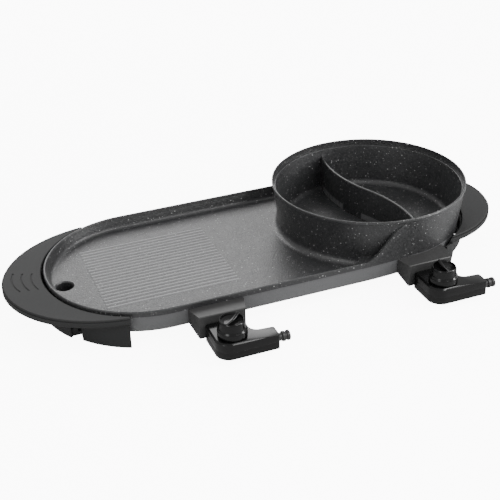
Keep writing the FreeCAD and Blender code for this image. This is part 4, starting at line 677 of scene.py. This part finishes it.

# ---- strain reliefs --------------------------------------------------------------
# A black rubber bush where the cord leaves each probe's arm: soft rings with deep grooves
# between them, then a plain neck at the grooves' radius, round the bore for the cord.
RELIEF_STEPS = 40
RELIEF_BORE = 0.0035
RELIEF_CORE = 0.78             # share of the bush's radius at the bottom of its grooves
RELIEF_PROFILE = (             # (distance from the free end, share of the bush's radius)
    (0.0, 0.86), (0.0008, 1.0), (0.0036, 1.0), (0.0044, 0.9), (0.0046, RELIEF_CORE),
    (0.0062, RELIEF_CORE), (0.0064, 0.9), (0.0072, 1.0), (0.0104, 1.0), (0.0112, 0.9),
    (0.0114, RELIEF_CORE), (0.0196, RELIEF_CORE),
)
SOFT_DARK = (0.006, 0.006, 0.006, 1)
SOFT_PALE = (0.012, 0.012, 0.012, 1)
soft_black = Finish("soft_black_rubber")
haze = soft_black.noise(scale=400.0)
soft_black.surface({
    "Base Color": soft_black.mixed(haze, SOFT_DARK, SOFT_PALE),
    "Roughness": 0.36 + haze * 0.15,
    "Normal": soft_black.bump(haze, depth=0.00004, strength=0.6),
})


def turned(corners, centre, axis, steps):
    """A ring of corners spun once round an axis into a closed piece."""
    mesh = bmesh.new()
    verts = [mesh.verts.new(corner) for corner in corners]
    ring = [mesh.edges.new((verts[index - 1], vert)) for index, vert in enumerate(verts)]
    bmesh.ops.spin(mesh, geom=verts + ring, cent=centre, axis=axis, angle=radians(360),
                   steps=steps, use_merge=True)
    bmesh.ops.remove_doubles(mesh, verts=mesh.verts, dist=MERGED)
    bmesh.ops.recalc_face_normals(mesh, faces=mesh.faces)
    return mesh


for socket in ("grill", "pot"):
    node = socket + "_probe_strain_relief"
    low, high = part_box(node)
    radius = (high.z - low.z) / 2
    length = high.x - low.x
    free_end = Vector((high.x, (low.y + high.y) / 2, (low.z + high.z) / 2))
    outline = [(back, share * radius) for back, share in RELIEF_PROFILE]
    outline += [(length, RELIEF_CORE * radius), (length, RELIEF_BORE), (0.0, RELIEF_BORE)]
    corners = [free_end + Vector((-back, 0, out)) for back, out in outline]
    bush = turned(corners, free_end, (1, 0, 0), RELIEF_STEPS)
    finish_piece(bush, socket + "_cord_bush", soft_black.material, node)

# ---- knobs -----------------------------------------------------------------------
# A skirted drum of glossy black plastic, pushed on the flatted spindle. Two scoops for
# the fingertips leave a ridge between them, whose far end stands up as the pointer.
KNOB_STEPS = 72
KNOB_PROFILE = (               # (share of the skirt's radius, height above its foot)
    (0.84, 0.0), (0.975, 0.0), (1.0, 0.0007), (1.0, 0.0062), (0.99, 0.0078), (0.955, 0.0088),
    (0.91, 0.0096), (0.885, 0.0112), (0.872, 0.0140), (0.86, 0.0185), (0.845, 0.0203),
    (0.815, 0.0216), (0.785, 0.0220), (0.755, 0.0217), (0.735, 0.0208), (0.71, 0.0192),
    (0.62, 0.0180), (0.45, 0.0172), (0.22, 0.0169), (0.0, 0.0168),
    (0.0, 0.0140), (0.70, 0.0140), (0.76, 0.0090), (0.84, 0.0080),
)
RIDGE_WIDTH = 0.0056
RIDGE_CUTS = 11
RIDGE_FOOT = 0.0150
RIDGE_LOW = 0.0212
RIDGE_REACH = 0.735            # half length, as a share of the skirt's radius
RIDGE_TAPER = 0.8              # width at the top, as a share of the width at the foot
RIDGE_ROUND = 0.0014
RIDGE_STEPS = 3


def finger_ridge(radius, height):
    """The ridge across the drum, low at its tail and as high as the knob at its head."""
    half_length = RIDGE_REACH * radius
    mesh = bmesh.new()
    bmesh.ops.create_cube(mesh, size=1.0)
    bmesh.ops.scale(mesh, verts=mesh.verts,
                    vec=(RIDGE_WIDTH, 2 * half_length, RIDGE_LOW - RIDGE_FOOT))
    bmesh.ops.translate(mesh, verts=mesh.verts, vec=(0, 0, (RIDGE_LOW + RIDGE_FOOT) / 2))
    lengthways = [edge for edge in mesh.edges
                  if abs(edge.verts[0].co.y - edge.verts[1].co.y) > radius]
    bmesh.ops.subdivide_edges(mesh, edges=lengthways, cuts=RIDGE_CUTS, use_grid_fill=True)
    for vert in mesh.verts:
        if vert.co.z > RIDGE_FOOT + MERGED:
            along = max(0.0, vert.co.y / half_length)
            vert.co.z += (height - RIDGE_LOW) * along ** 2
            vert.co.x *= RIDGE_TAPER
    soften(mesh, RIDGE_ROUND, RIDGE_STEPS)
    return mesh


for socket in ("grill", "pot"):
    node = socket + "_knob"
    low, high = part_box(node)
    radius = (high.x - low.x) / 2
    foot = Vector(((low.x + high.x) / 2, (low.y + high.y) / 2, low.z))
    crest = [vert.co.copy() for vert in nodes[node].data.vertices
             if vert.co.z > high.z - MERGED]
    towards = sum(crest, Vector()) / len(crest) - foot
    turn = Vector((towards.x, towards.y)).angle_signed(Vector((0, 1)))
    corners = [(share * radius, 0, height) for share, height in KNOB_PROFILE]
    dial = turned(corners, (0, 0, 0), (0, 0, 1), KNOB_STEPS)
    gather(dial, finger_ridge(radius, high.z - low.z))
    bmesh.ops.rotate(dial, verts=dial.verts, cent=(0, 0, 0),
                     matrix=Matrix.Rotation(turn, 3, "Z"))
    bmesh.ops.translate(dial, verts=dial.verts, vec=foot)
    finish_piece(dial, socket + "_dial", gloss.material, node)
    dress(socket + "_knob_spindle", socket + "_dial_spindle", steel.material, CONTACT_EDGE)
